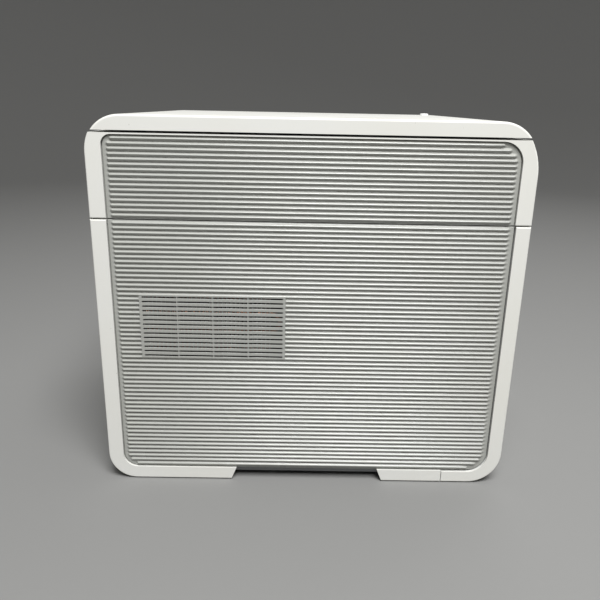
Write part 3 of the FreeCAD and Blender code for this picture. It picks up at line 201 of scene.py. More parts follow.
def handled_group():
    """Use and age: a slow tone that drifts between clean and aged colour, small dark specks where a
    fine noise passes a limit, dust settled on faces that look up, and paler rubbed edges where the
    rounded normal differs from the true one."""
    inputs = (
        ("Clean", (0.8, 0.8, 0.8, 1.0)),
        ("Aged", (0.7, 0.7, 0.65, 1.0)),
        ("Age", 0.5),
        ("Specks", 0.3),
        ("Speck Scale", 260.0),
        ("Dust", 0.1),
        ("Edge", (0.9, 0.9, 0.9, 1.0)),
        ("Rub", 0.3),
    )
    group, enter, leave = shader_group("handled", inputs, (("Colour", "NodeSocketColor"),))
    place = node(group, "ShaderNodeTexCoord").outputs["Object"]
    slow = node(group, "ShaderNodeTexNoise", [("Vector", place), ("Scale", 7.0), ("Detail", 4.0)])
    drift = node(
        group, "ShaderNodeMapRange", [("Value", slow.outputs["Fac"]), ("From Min", 0.35), ("From Max", 0.75)]
    )
    age = node(
        group, "ShaderNodeMath", [(0, drift.outputs[0]), (1, enter.outputs["Age"])], operation="MULTIPLY"
    )
    tone = node(
        group,
        "ShaderNodeMix",
        [(0, age.outputs[0]), (6, enter.outputs["Clean"]), (7, enter.outputs["Aged"])],
        data_type="RGBA",
    )
    dots = node(
        group,
        "ShaderNodeTexNoise",
        [("Vector", place), ("Scale", enter.outputs["Speck Scale"]), ("Detail", 1.0)],
    )
    rare = node(
        group, "ShaderNodeMapRange", [("Value", dots.outputs["Fac"]), ("From Min", 0.775), ("From Max", 0.83)]
    )
    speck = node(
        group, "ShaderNodeMath", [(0, rare.outputs[0]), (1, enter.outputs["Specks"])], operation="MULTIPLY"
    )
    spotted = node(
        group,
        "ShaderNodeMix",
        [(0, speck.outputs[0]), (6, tone.outputs[2]), (7, (0.16, 0.14, 0.12, 1.0))],
        data_type="RGBA",
    )
    shape = node(group, "ShaderNodeNewGeometry")
    up = node(group, "ShaderNodeSeparateXYZ", [(0, shape.outputs["Normal"])])
    lying = node(
        group, "ShaderNodeMapRange", [("Value", up.outputs["Z"]), ("From Min", 0.6), ("From Max", 1.0)]
    )
    patch = node(
        group, "ShaderNodeMath", [(0, lying.outputs[0]), (1, slow.outputs["Fac"])], operation="MULTIPLY"
    )
    film = node(
        group, "ShaderNodeMath", [(0, patch.outputs[0]), (1, enter.outputs["Dust"])], operation="MULTIPLY"
    )
    dusty = node(
        group,
        "ShaderNodeMix",
        [(0, film.outputs[0]), (6, spotted.outputs[2]), (7, (0.5, 0.48, 0.44, 1.0))],
        data_type="RGBA",
    )
    rounded = node(group, "ShaderNodeBevel", [("Radius", 0.0012)], samples=4)
    same = node(
        group,
        "ShaderNodeVectorMath",
        [(0, rounded.outputs[0]), (1, shape.outputs["Normal"])],
        operation="DOT_PRODUCT",
    )
    edge = node(
        group,
        "ShaderNodeMapRange",
        [("Value", same.outputs["Value"]), ("From Min", 0.99), ("From Max", 0.8)],
    )
    rub = node(
        group, "ShaderNodeMath", [(0, edge.outputs[0]), (1, enter.outputs["Rub"])], operation="MULTIPLY"
    )
    worn = node(
        group,
        "ShaderNodeMix",
        [(0, rub.outputs[0]), (6, dusty.outputs[2]), (7, enter.outputs["Edge"])],
        data_type="RGBA",
    )
    group.links.new(worn.outputs[2], leave.inputs["Colour"])
    return group


grain, handled = grain_group(), handled_group()


def finish(name, grain_values, handled_values, bump, fixed=(), distance=0.0002):
    """A material: the handled group gives the colour, the grain group the roughness and the height of
    a bump of the given strength. fixed are plain numbers on the shader's own sockets."""
    material = bpy.data.materials.new(name)
    material.use_nodes = True
    tree = material.node_tree
    shader = tree.nodes["Principled BSDF"]
    for label, number in fixed:
        shader.inputs[label].default_value = number
    texture = tree.nodes.new("ShaderNodeGroup")
    texture.node_tree = grain
    for label, number in grain_values.items():
        texture.inputs[label].default_value = number
    wear = tree.nodes.new("ShaderNodeGroup")
    wear.node_tree = handled
    for label, number in handled_values.items():
        wear.inputs[label].default_value = number if isinstance(number, (int, float)) else (*number, 1.0)
    relief = node(tree, "ShaderNodeBump", [("Height", texture.outputs["Height"]), ("Strength", bump)])
    relief.inputs["Distance"].default_value = distance
    tree.links.new(relief.outputs["Normal"], shader.inputs["Normal"])
    tree.links.new(texture.outputs["Roughness"], shader.inputs["Roughness"])
    tree.links.new(wear.outputs["Colour"], shader.inputs["Base Color"])
    return material


def coat(material, *names):
    """Puts a material on CAD nodes that stay as they are."""
    for name in names:
        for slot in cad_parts[name].material_slots:
            slot.material = material


dipped_grey = finish(
    "dipped_grey_steel",
    {"Scale": 700.0, "Ripple": 0.35, "Ripple Scale": 90.0, "Rough": 0.5, "Spread": 0.25},
    {"Clean": (0.30, 0.31, 0.32), "Aged": (0.24, 0.24, 0.23), "Edge": (0.42, 0.42, 0.41), "Dust": 0.5},
    0.25,
)
coat(dipped_grey, "base_pan")
pad_rubber = finish(
    "pad_rubber",
    {"Scale": 1500.0, "Rough": 0.75, "Spread": 0.15},
    {"Clean": (0.06, 0.06, 0.062), "Aged": (0.09, 0.088, 0.082), "Edge": (0.12, 0.12, 0.12), "Dust": 0.6},
    0.4,
)
coat(pad_rubber, "compressor_grommets")
pad_low, pad_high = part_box("foot_pads")
pad_profile = [
    (0, 0.0011), (0.0089, 0.0011), (0.009, 0.0008), (0.009, 0.0004), (0.0086, 0.0001), (0.0081, 0.0),
    (0.0064, 0.0), (0.0062, 0.0003), (0.0048, 0.0003), (0.0046, 0.0), (0.0, 0.0),
]
pad_places = [
    (x, y)
    for x in (pad_low[0] + 0.009, pad_high[0] - 0.009)
    for y in (pad_low[1] + 0.009, pad_high[1] - 0.009)
]
for number, spot in enumerate(pad_places):
    pad = closed(surface(f"foot_pad_{number}", turned(pad_profile, 48, "z", spot), loop=True), outward=True)
    pad.data.materials.append(pad_rubber)
    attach(pad, "cabinet")
    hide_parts("foot_pads")

# ------------------------------------------------------------------------------ white outer mouldings
# The rear shell with its foot, the front foot, the door skin, the upper housing and the lid skin are
# injection moulded in one off-white satin plastic, with a fine spark texture and slightly rubbed edges.

white_plastic = finish(
    "white_shell",
    {"Scale": 1300.0, "Ripple": 0.12, "Ripple Scale": 24.0, "Rough": 0.36, "Spread": 0.12},
    {
        "Clean": (0.80, 0.80, 0.765),
        "Aged": (0.775, 0.765, 0.70),
        "Age": 0.6,
        "Specks": 0.45,
        "Speck Scale": 300.0,
        "Dust": 0.12,
        "Edge": (0.86, 0.86, 0.83),
        "Rub": 0.5,
    },
    0.1,
    fixed=(("Coat Weight", 0.06), ("Coat Roughness", 0.2)),
)
coat(white_plastic, "rear_shell", "front_foot", "door_shell", "upper_housing", "lid_shell")

# --------------------------------------------------------------------------------- fluted side panels
# Four light grey panels close the sides, moulded with convex horizontal flutes whose ends are round and
# follow the rounded outline. The left lower one has fourteen rows of slots in place of its grooves,
# opposite the condenser. Each panel has a flange that tucks behind the white band.

PITCH, CREST, BORDER = 0.00507, 0.0023, 0.0032
FACE, FLANGE, HALF = 0.1778, 0.1757, 0.2073
SLOT, BRIDGE = 0.0018, 0.0013
VENT_Y = (0.0278, 0.1778)


def panel_end(reach, radius, inset=0.0):
    """How far the outline reaches from the middle at a distance from its rounded edge: half less the
    radius, plus the square root of the radius squared less the rest of the distance squared."""
    r = radius - inset
    rest = np.clip(r - (reach - inset), 0, r)
    return HALF - inset - r + np.sqrt(np.maximum(r * r - rest * rest, 0))


def fluted_panel(name, side, low, high, rounded_low, radii, groove, vent=None):
    """Rows climb in z with ten to a pitch, columns run from the front outline to the rear one. A point
    stands proud of the face by crest x (1/2 + 1/2 cos(pi x rho)), where rho is its distance from the
    axis of its own flute in half pitches, and the axis stops half a pitch inside the border. The rim
    rolls over and drops to a flange behind the band."""
    first = groove - PITCH * np.ceil((groove - low) / PITCH)
    steps = np.array([0, 0.09, 0.1775, 0.27, 0.38, 0.5, 0.62, 0.73, 0.8225, 0.91])
    levels = (first + PITCH * (np.arange(int((high - low) / PITCH) + 3)[:, None] + steps)).ravel()
    curve = np.array([0, 0.00003, 0.0001, 0.0002, 0.00035, 0.0006, 0.0009, 0.0013, 0.0018])
    tight = low + curve if rounded_low else high - curve
    straight = (high if rounded_low else low) + np.array([0, 0.0002, 0.0005]) * (-1 if rounded_low else 1)
    inside = levels[(levels > low + 0.0006) & (levels < high - 0.0006)]
    z = np.unique(np.round(np.concatenate([tight, straight, inside]), 7))
    near = np.array([0, 0.0002, 0.0006, 0.0018, 0.0036, 0.0052, 0.0057, 0.0061, 0.0066, 0.0072, 0.0079])
    near = np.concatenate([near, [0.0087, 0.010, 0.013, 0.02, 0.03]])
    spans = np.linspace(-HALF + 0.045, HALF - 0.045, 13)
    flat_y = np.concatenate([-HALF + near, spans, HALF - near])
    if vent:
        quarter = (VENT_Y[1] - VENT_Y[0]) / 4
        posts = VENT_Y[0] + quarter * np.arange(5)
        cuts = np.concatenate([posts[:-1] + BRIDGE / 2, posts[:-1] + quarter - BRIDGE / 2])
        field = np.array([VENT_Y[0] - 0.0027, VENT_Y[0] - 0.0023, VENT_Y[1] + 0.0023, VENT_Y[1] + 0.0027])
        flat_y = np.concatenate([flat_y, cuts, field])
    flat_y = np.unique(np.round(flat_y, 7))
    share = (flat_y + HALF) / (2 * HALF)
    reach = z - low if rounded_low else high - z
    front, rear = -panel_end(reach, radii[0]), panel_end(reach, radii[1])
    if vent:
        front = front - 0.0009
    y = front[:, None] + share * (rear - front)[:, None]
    z_grid = np.repeat(z[:, None], len(share), axis=1)
    axis_z = first + PITCH * (np.floor((z - first) / PITCH) + 0.5)
    axis_reach = axis_z - low if rounded_low else high - axis_z
    stop = BORDER + PITCH / 2
    ends = -panel_end(axis_reach, radii[0], stop)[:, None], panel_end(axis_reach, radii[1], stop)[:, None]
    past = np.maximum(np.maximum(ends[0] - y, y - ends[1]), 0)
    rho = np.hypot(past, (z - axis_z)[:, None]) / (PITCH / 2)
    proud = CREST * (0.5 + 0.5 * np.cos(np.pi * np.clip(rho, 0, 1)))
    proud[axis_reach < 0.0023] = 0
    drop = None
    if vent:
        rows_in = (z > vent[0] - PITCH / 2) & (z < vent[1] + PITCH / 2)
        columns_in = (flat_y > VENT_Y[0] - 0.0025) & (flat_y < VENT_Y[1] + 0.0025)
        proud[np.ix_(rows_in, columns_in)] = CREST - 0.00015
    from_ends = np.minimum(y - front[:, None], rear[:, None] - y)
    edge = np.minimum(from_ends, np.minimum(z - low, high - z)[:, None])
    roll = 0.00035 * np.clip(1 - edge / 0.0006, 0, 1) ** 2
    x = FACE + proud - roll
    if vent:
        mid_z, mid_y = (z[:-1] + z[1:]) / 2, (flat_y[:-1] + flat_y[1:]) / 2
        off = np.abs((mid_z - vent[0] + PITCH / 2) % PITCH - PITCH / 2)
        open_row = (off < SLOT / 2) & (mid_z > vent[0] - SLOT) & (mid_z < vent[1] + SLOT)
        along = (mid_y - VENT_Y[0]) % quarter
        open_column = (mid_y > VENT_Y[0]) & (mid_y < VENT_Y[1])
        open_column &= (along > BRIDGE / 2) & (along < quarter - BRIDGE / 2)
        drop = np.pad(open_row[:, None] & open_column[None, :], 2)
    grid = np.stack([x, y, z_grid], axis=-1)
    grid = np.concatenate([grid[:1], grid[:1], grid, grid[-1:], grid[-1:]])
    grid = np.concatenate([grid[:, :1], grid[:, :1], grid, grid[:, -1:], grid[:, -1:]], axis=1)
    for line in (grid[:2], grid[-2:], grid[:, :2], grid[:, -2:]):
        line[..., 0] = FLANGE
    tuck = 0.0025
    at_foot = 0.0 if rounded_low else 0.001
    grid[0, :, 2] -= tuck if rounded_low else at_foot
    grid[-1, :, 2] += 0.0 if rounded_low else tuck
    grid[:, -1, 1] += tuck
    grid[:, 0, 1] -= 0.0002 if rounded_low else tuck
    grid[..., 0] *= side
    panel = closed(surface(name, grid, flip=side > 0, drop=drop))
    wall = panel.modifiers.new("wall", "SOLIDIFY")
    wall.thickness = 0.001
    wall.offset = -1
    return panel


panel_plastic = finish(
    "panel_grey",
    {"Scale": 1500.0, "Ripple": 0.1, "Ripple Scale": 30.0, "Rough": 0.28, "Spread": 0.12},
    {
        "Clean": (0.395, 0.402, 0.378),
        "Aged": (0.37, 0.37, 0.338),
        "Age": 0.7,
        "Specks": 0.35,
        "Speck Scale": 340.0,
        "Dust": 0.2,
        "Edge": (0.42, 0.42, 0.41),
        "Rub": 0.35,
    },
    0.1,
)
panels = (
    ("lower_panel_left", -1, 0.0163, 0.3018, True, (0.0211, 0.0151), 0.29612, (0.15416, 0.22007)),
    ("lower_panel_right", 1, 0.0163, 0.3018, True, (0.0211, 0.0151), 0.29612, None),
    ("upper_panel_left", -1, 0.3030, 0.3853, False, (0.0201, 0.0091), 0.30391, None),
    ("upper_panel_right", 1, 0.3030, 0.3853, False, (0.0201, 0.0091), 0.30391, None),
)
for cad_name, side, low, high, rounded_low, radii, groove, vent in panels:
    panel = fluted_panel("fluted_" + cad_name, side, low, high, rounded_low, radii, groove, vent)
    panel.data.materials.append(panel_plastic)
    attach(panel, "cabinet")
    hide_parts(cad_name)

# ------------------------------------------------------------------------------------------ cold box
# Foamed boards outside a thermoformed white liner, with a pressed front frame and a bulkhead behind,
# both of coated steel. Cut foam edges show only where the covers come off.


def rounded_ring(half_a, half_b, radius, steps=7, runs=0):
    """A rounded rectangle: four quarter arcs about the corner centres, a = half less radius plus
    radius x cos, b likewise with sin, and points spaced evenly on the straight runs between."""
    radius = min(radius, half_a, half_b)
    turn = np.linspace(0, np.pi / 2, steps) + (np.pi / 2) * np.arange(4)[:, None]
    signs = np.array([[1, 1], [-1, 1], [-1, -1], [1, -1]])[:, None, :]
    arcs = signs * [half_a - radius, half_b - radius] + radius * np.stack([np.cos(turn), np.sin(turn)], -1)
    share = np.linspace(0, 1, runs + 2)[1:-1][None, :, None]
    between = arcs[:, -1:] * (1 - share) + np.roll(arcs, -1, axis=0)[:, :1] * share
    return np.concatenate([arcs, between], axis=1).reshape(-1, 2)


def stacked(rings, axis="z", centre=(0, 0, 0), steps=7, runs=0):
    """Rings (half a, half b, radius, level) stacked along an axis into one grid of points."""
    rows = []
    for half_a, half_b, radius, level in rings:
        ring = rounded_ring(half_a, half_b, radius, steps, runs)
        rows.append(np.column_stack([ring, np.full(len(ring), level)]))
    order = {"z": [0, 1, 2], "y": [0, 2, 1], "x": [2, 0, 1]}[axis]
    return np.stack(rows)[..., order] + np.asarray(centre)


def fit(piece, material, body, slot, *nodes, outward=True, crease=38):
    """Closes a new piece, gives it its material, hangs it on its body and hides the CAD nodes it stands for.
    """
    closed(piece, crease, outward)
    piece.data.materials.append(material)
    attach(piece, body)
    if nodes:
        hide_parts(*nodes)
    return piece


foam = finish(
    "rigid_foam",
    {"Scale": 420.0, "Ripple": 0.5, "Ripple Scale": 140.0, "Rough": 0.85, "Spread": 0.2},
    {"Clean": (0.78, 0.70, 0.50), "Aged": (0.70, 0.58, 0.36), "Age": 0.8, "Edge": (0.8, 0.74, 0.56)},
    0.6,
)
coat(foam, "cabinet_insulation", "door_insulation", "lid_insulation", "upper_insulation")
liner_white = finish(
    "liner_white",
    {"Scale": 260.0, "Ripple": 0.6, "Ripple Scale": 55.0, "Rough": 0.28, "Spread": 0.15},
    {
        "Clean": (0.84, 0.85, 0.85),
        "Aged": (0.80, 0.80, 0.77),
        "Age": 0.5,
        "Specks": 0.15,
        "Edge": (0.88, 0.88, 0.88),
        "Dust": 0.05,
    },
    0.12,
    fixed=(("Coat Weight", 0.15), ("Coat Roughness", 0.12)),
)
coat(liner_white, "cabinet_liner", "door_liner", "lid_liner", "upper_liner")
coated_steel = finish(
    "coated_steel",
    {"Scale": 900.0, "Ripple": 0.4, "Ripple Scale": 120.0, "Rough": 0.4, "Spread": 0.15},
    {"Clean": (0.74, 0.75, 0.74), "Aged": (0.66, 0.66, 0.63), "Edge": (0.8, 0.8, 0.8), "Rub": 0.4},
    0.15,
)
coat(coated_steel, "front_frame", "bulkhead", "upper_base_plate")

# ------------------------------------------------------------------------------------ evaporator plate
# Two aluminium sheets rolled together and blown open along one winding channel, anodised, and held off
# the back of the liner on four posts.

plate_low, plate_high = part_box("evaporator_plate")
across = np.linspace(plate_low[0], plate_high[0], 150)
climb = np.linspace(plate_low[2], plate_high[2], 76)
channel_x = 0.094
channel_levels = np.linspace(plate_low[2] + 0.012, plate_high[2] - 0.012, 5)
sheet_x, sheet_z = np.meshgrid(across, climb)
past_run = np.clip(np.abs(sheet_x) - channel_x, 0, 1)
runs_gap = np.stack([np.hypot(past_run, sheet_z - z) for z in channel_levels])
turns_gap = np.stack(
    [
        np.hypot(
            sheet_x - (channel_x if k % 2 == 0 else -channel_x),
            np.clip(np.abs(sheet_z - (low + high) / 2) - (high - low) / 2, 0, 1),
        )
        for k, (low, high) in enumerate(zip(channel_levels[:-1], channel_levels[1:]))
    ]
)
gap = np.minimum(runs_gap.min(axis=0), turns_gap.min(axis=0))
swell = 0.0021 * np.clip(1 - (gap / 0.0042) ** 2, 0, 1)
rim_gap = np.minimum(channel_x + 0.011 - np.abs(sheet_x), np.minimum(sheet_z - climb[0], climb[-1] - sheet_z))
sheet_y = plate_low[1] + 0.0021 - swell + 0.0004 * np.clip(1 - rim_gap / 0.0012, 0, 1) ** 2
evaporator = surface("evaporator_sheet", np.stack([sheet_x, sheet_y, sheet_z], -1), flip=True)
anodised = finish(
    "anodised_aluminium",
    {"Scale": 1600.0, "Ripple": 0.3, "Ripple Scale": 30.0, "Rough": 0.34, "Spread": 0.2},
    {
        "Clean": (0.72, 0.73, 0.74),
        "Aged": (0.6, 0.61, 0.62),
        "Age": 0.9,
        "Edge": (0.85, 0.85, 0.86),
        "Dust": 0,
    },
    0.15,
    fixed=(("Metallic", 1.0),),
)
fit(evaporator, anodised, "cabinet", "alu", "evaporator_plate", outward=False)
wall = evaporator.modifiers.new("wall", "SOLIDIFY")
wall.thickness, wall.offset = 0.001, -1
post = [(0, 0.0), (0.0042, 0.0), (0.0042, -0.004), (0.0034, -0.0045), (0.0034, -0.0075), (0, -0.0075)]
post_places = [(x, z) for x in (-0.101, 0.101) for z in (plate_low[2] + 0.006, plate_high[2] - 0.006)]
for number, spot in enumerate(post_places):
    grid = turned(np.add(post, (0, plate_high[1])), 28, "y", spot)
    fit(surface(f"evaporator_post_{number}", grid, loop=True), liner_white, "cabinet", "liner_white")
coat(anodised, "condenser_fins")

# ------------------------------------------------------------------- shelf, drawer, bins and the lamp
# A tempered glass shelf with a white moulded front trim lies on the liner's rails. The drawer and the
# door bins are clear moulded trays with rounded corners and a rolled rim. The lamp is a frosted lens.


def clear_finish(name, colour, rough, scale):
    """Clear moulding or glass: a plain transmission, with haze and hairlines that move the roughness."""
    material = bpy.data.materials.new(name)
    material.use_nodes = True
    tree = material.node_tree
    shader = tree.nodes["Principled BSDF"]
    shader.inputs["Transmission Weight"].default_value = 1.0
    shader.inputs["IOR"].default_value = 1.49
    texture = tree.nodes.new("ShaderNodeGroup")
    texture.node_tree = grain
    for label, number in {"Scale": scale, "Ripple": 0.6, "Ripple Scale": 35.0, "Rough": rough}.items():
        texture.inputs[label].default_value = number
    wear = tree.nodes.new("ShaderNodeGroup")
    wear.node_tree = handled
    for label, number in {"Clean": colour, "Aged": tuple(0.93 * c for c in colour), "Edge": colour}.items():
        wear.inputs[label].default_value = (*number, 1.0)
    wear.inputs["Dust"].default_value = 0.02
    wear.inputs["Specks"].default_value = 0.0
    tree.links.new(texture.outputs["Roughness"], shader.inputs["Roughness"])
    tree.links.new(wear.outputs["Colour"], shader.inputs["Base Color"])
    return material


tray_clear = clear_finish("clear_tray", (0.93, 0.96, 0.97), 0.09, 500.0)
shelf_glass = clear_finish("shelf_glass", (0.86, 0.95, 0.92), 0.03, 900.0)
shelf_glass.node_tree.nodes["Principled BSDF"].inputs["IOR"].default_value = 1.52
coat(shelf_glass, "glass_shelf")
coat(liner_white, "shelf_trim")


def tray(name, node_name, body, wall, radius, scoop=0.0):
    """An open tray in the box of its CAD solid: rings go up the outer wall, which leans out by a
    fiftieth, over a rolled rim and down inside to the floor. scoop lowers the front rim round the
    middle by a cosine hump."""
    low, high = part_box(node_name)
    centre = (low + high) / 2
    if node_name.startswith("door_bin"):
        low, high = np.array(low), np.array(high)
        low[0], high[0] = low[0] + 0.0015, high[0] - 0.0015
    a, b = (high[0] - low[0]) / 2, (high[1] - low[1]) / 2
    top, floor_z, lean = high[2], low[2], 0.0016
    rings = [
        (0.001, 0.001, 0.001, floor_z), (a - lean - 0.006, b - lean - 0.006, radius, floor_z),
        (a - lean - 0.0018, b - lean - 0.0018, radius, floor_z + 0.0012),
        (a - lean, b - lean, radius, floor_z + 0.005), (a - 0.0009, b - 0.0009, radius, top - 0.004),
        (a - 0.0002, b - 0.0002, radius, top - 0.003), (a, b, radius, top - 0.0016),
        (a - 0.0005, b - 0.0005, radius, top - 0.0003), (a - 0.0014, b - 0.0014, radius, top),
        (a - wall - 0.0006, b - wall - 0.0006, radius - wall, top - 0.0006),
        (a - wall - 0.001, b - wall - 0.001, radius - wall, top - 0.004),
        (a - wall - lean, b - wall - lean, radius - wall, floor_z + 0.007),
        (a - wall - lean - 0.0025, b - wall - lean - 0.0025, radius - wall, floor_z + wall + 0.001),
        (a - wall - lean - 0.007, b - wall - lean - 0.007, radius - wall, floor_z + wall),
        (0.001, 0.001, 0.001, floor_z + wall),
    ]
    grid = stacked(rings, "z", (centre[0], centre[1], 0), runs=24)
    if scoop:
        near = (grid[..., 1] < centre[1]) & (np.abs(grid[..., 0] - centre[0]) < 0.032)
        hump = scoop * (0.5 + 0.5 * np.cos(np.pi * (grid[..., 0] - centre[0]) / 0.032))
        high_part = np.clip((grid[..., 2] - floor_z - 0.012) / (top - floor_z - 0.012), 0, 1)
        grid[..., 2] -= np.where(near, hump * high_part, 0)
    return fit(surface(name, grid, loop=True), tray_clear, body, "clear_tray", node_name, crease=50)


tray("drawer_tray", "crisper_drawer", "cabinet", 0.0025, 0.011, scoop=0.018)
for label in ("lower", "upper"):
    tray(f"{label}_bin_tray", f"door_bin_{label}", "door", 0.002, 0.009)
    low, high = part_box(f"door_bin_{label}")
    for side, end in (("left", low[0]), ("right", high[0])):
        inward = 1 if side == "left" else -1
        rings = [
            (0.0, 0.0, 0.0012, 0.0), (0.0045, 0.0022, 0.0012, 0.0), (0.005, 0.0028, 0.0012, 0.0006),
            (0.005, 0.0028, 0.0012, 0.0034), (0.0045, 0.0022, 0.0012, 0.004), (0.0, 0.0, 0.0012, 0.004),
        ]
        ear = stacked(rings, "x", (0, 0, 0))
        ear[..., 0] = end + inward * ear[..., 0]
        ear[..., 1:] += (low[1] + 0.0066, (0.0931 if label == "lower" else 0.1991))
        fit(surface(f"{label}_bin_ear_{side}", ear, loop=True), tray_clear, "door", "clear_tray")
lens = finish(
    "frosted_lens",
    {"Scale": 1200.0, "Rough": 0.45, "Spread": 0.1},
    {"Clean": (0.9, 0.9, 0.86), "Aged": (0.88, 0.87, 0.8), "Edge": (0.93, 0.93, 0.9), "Dust": 0.05},
    0.5,
    fixed=(("Subsurface Weight", 0.2),),
)
coat(lens, "interior_lamp")

# ----------------------------------------------------------------------------------------- machine bay
# A black stove-enamelled compressor stands on rubber grommets, with copper lines brazed to it. An
# axial fan draws air in through the slotted panel and over a finned condenser. The supply board sits
# high on the bulkhead, and a black tray over the compressor dries the melt water.

enamel_black = finish(
    "black_enamel",
    {"Scale": 500.0, "Ripple": 0.6, "Ripple Scale": 80.0, "Rough": 0.3, "Spread": 0.3},
    {"Clean": (0.02, 0.02, 0.021), "Aged": (0.05, 0.048, 0.045), "Edge": (0.12, 0.12, 0.12), "Dust": 0.7},
    0.25,
)
coat(enamel_black, "compressor")
copper = finish(
    "drawn_copper",
    {"Scale": 300.0, "Ripple": 0.5, "Ripple Scale": 60.0, "Rough": 0.32, "Spread": 0.3},
    {
        "Clean": (0.78, 0.42, 0.28),
        "Aged": (0.38, 0.2, 0.13),
        "Age": 0.9,
        "Edge": (0.9, 0.55, 0.4),
        "Dust": 0.2,
        "Specks": 0.6,
    },
    0.1,
    fixed=(("Metallic", 1.0),),
)
coat(copper, "refrigerant_lines", "filter_drier", "condenser_tube")
zinc = finish(
    "zinc_steel",
    {"Scale": 60.0, "Ripple": 0.7, "Ripple Scale": 220.0, "Rough": 0.38, "Spread": 0.35},
    {
        "Clean": (0.62, 0.63, 0.65),
        "Aged": (0.45, 0.46, 0.48),
        "Age": 1.0,
        "Edge": (0.8, 0.8, 0.82),
        "Dust": 0.2,
    },
    0.12,
    fixed=(("Metallic", 1.0),),
)
coat(zinc, "condenser_bracket", "lower_hinge_bracket", "upper_hinge_pin", "lid_hinge_pins")
black_plastic = finish(
    "black_plastic",
    {"Scale": 1100.0, "Ripple": 0.2, "Ripple Scale": 40.0, "Rough": 0.48, "Spread": 0.15},
    {"Clean": (0.025, 0.025, 0.027), "Aged": (0.045, 0.044, 0.042), "Edge": (0.09, 0.09, 0.09), "Dust": 0.5},
    0.25,
)
coat(black_plastic, "fan_frame", "evaporation_tray", "power_rocker", "power_inlet")
board_green = finish(
    "board_lacquer",
    {"Scale": 350.0, "Ripple": 0.5, "Ripple Scale": 160.0, "Rough": 0.3, "Spread": 0.2},
    {
        "Clean": (0.02, 0.16, 0.07),
        "Aged": (0.03, 0.11, 0.05),
        "Age": 0.8,
        "Edge": (0.35, 0.33, 0.2),
        "Rub": 0.8,
    },
    0.3,
)
coat(board_green, "power_board", "control_board")

fan_low, fan_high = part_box("fan_rotor")
fan_mid = (fan_low + fan_high) / 2
hub = [
    (0, 0), (0.0135, 0), (0.0154, 0.0006), (0.016, 0.002), (0.016, 0.0178), (0.0145, 0.018), (0.0143, 0.006),
    (0.0135, 0.0045), (0.004, 0.0045), (0.004, 0.017), (0.0021, 0.017), (0.0021, 0.004), (0, 0.004),
]
hub_grid = turned(np.add(hub, (0, fan_low[0])), 56, "x", fan_mid[1:])
fit(surface("fan_hub", hub_grid, loop=True), black_plastic, "fan", "black_plastic", "fan_rotor")
span = np.linspace(0.0153, 0.0408, 12)[:, None]
chord = np.linspace(-1, 1, 10)[None, :]
pitch_angle = np.radians(50 - 22 * (span - span[0]) / (span[-1] - span[0]))
width = 0.0095 + 0.0035 * np.sin(np.pi * (span - span[0]) / (span[-1] - span[0]) * 0.8)
for number in range(7):
    turn = 2 * np.pi * number / 7 + chord * width * np.cos(pitch_angle) / span + 6.0 * (span - span[0])
    along = chord * width * np.sin(pitch_angle) * 0.85 + 0.0012 * (1 - chord**2)
    blade = np.stack(
        [fan_mid[0] + along, fan_mid[1] + span * np.cos(turn), fan_mid[2] + span * np.sin(turn)], -1
    )
    piece = surface(f"fan_blade_{number}", blade)
    fit(piece, black_plastic, "fan", "black_plastic", "fan_rotor", outward=False)
    wall = piece.modifiers.new("wall", "SOLIDIFY")
    wall.thickness, wall.offset = 0.0013, 0

# --------------------------------------------------------------------------------------- door and seal
# The door skin is foamed to its liner. A soft magnetic seal with a folded bellows runs round the mouth,
# and a dark grey pull is snapped into the front near the free edge.


def seal(name, node_name, body, axis, profile, material):
    """A closed profile of (offset across, share of depth) carried round a rounded rectangle: the ring
    grows by the offset and sits at its share of the depth."""
    low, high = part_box(node_name)
    middle = (low + high) / 2
    lay = {"y": (0, 2, 1), "z": (0, 1, 2)}[axis]
    a, b = (high[lay[0]] - low[lay[0]]) / 2 - 0.0035, (high[lay[1]] - low[lay[1]]) / 2 - 0.0035
    depth = high[lay[2]] - low[lay[2]]
    level = low[lay[2]]
    rings = [(a + o / 1000, b + o / 1000, 0.0045 + o / 1000, level + share * depth) for o, share in profile]
    rings.append(rings[0])
    centre = [middle[0], middle[1], middle[2]]
    centre[lay[2]] = 0
    grid = stacked(rings, axis, centre, steps=9)
    return fit(surface(name, grid, loop=True), material, body, "seal_rubber", node_name, crease=60)


seal_rubber = finish(
    "seal_rubber",
    {"Scale": 700.0, "Ripple": 0.3, "Ripple Scale": 60.0, "Rough": 0.55, "Spread": 0.15},
    {
        "Clean": (0.62, 0.62, 0.61),
        "Aged": (0.5, 0.49, 0.45),
        "Age": 0.8,
        "Edge": (0.66, 0.66, 0.65),
        "Dust": 0.2,
    },
    0.2,
)
bellows = [
    (-3.4, 0), (3.4, 0), (3.4, 0.12), (2.2, 0.2), (1.6, 0.3), (2.6, 0.42), (2.6, 0.5), (1.6, 0.6),
    (2.4, 0.66),
    (3.3, 0.72), (3.45, 0.9), (2.6, 1), (-2.6, 1), (-3.45, 0.9), (-3.3, 0.72), (-2.4, 0.66), (-1.6, 0.6),
    (-2.6, 0.5), (-2.6, 0.42), (-1.6, 0.3), (-2.2, 0.2), (-3.4, 0.12),
]
seal("door_seal", "door_gasket", "door", "y", bellows, seal_rubber)
dark_grey = finish(
    "dark_grey_plastic",
    {"Scale": 1400.0, "Ripple": 0.15, "Ripple Scale": 40.0, "Rough": 0.42, "Spread": 0.15},
    {
        "Clean": (0.11, 0.112, 0.115),
        "Aged": (0.14, 0.14, 0.135),
        "Edge": (0.2, 0.2, 0.2),
        "Rub": 0.5,
        "Dust": 0.2,
    },
    0.2,
)
low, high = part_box("handle_insert")
middle = (low + high) / 2
a, b = (high[0] - low[0]) / 2, (high[2] - low[2]) / 2
face, back = low[1], high[1]
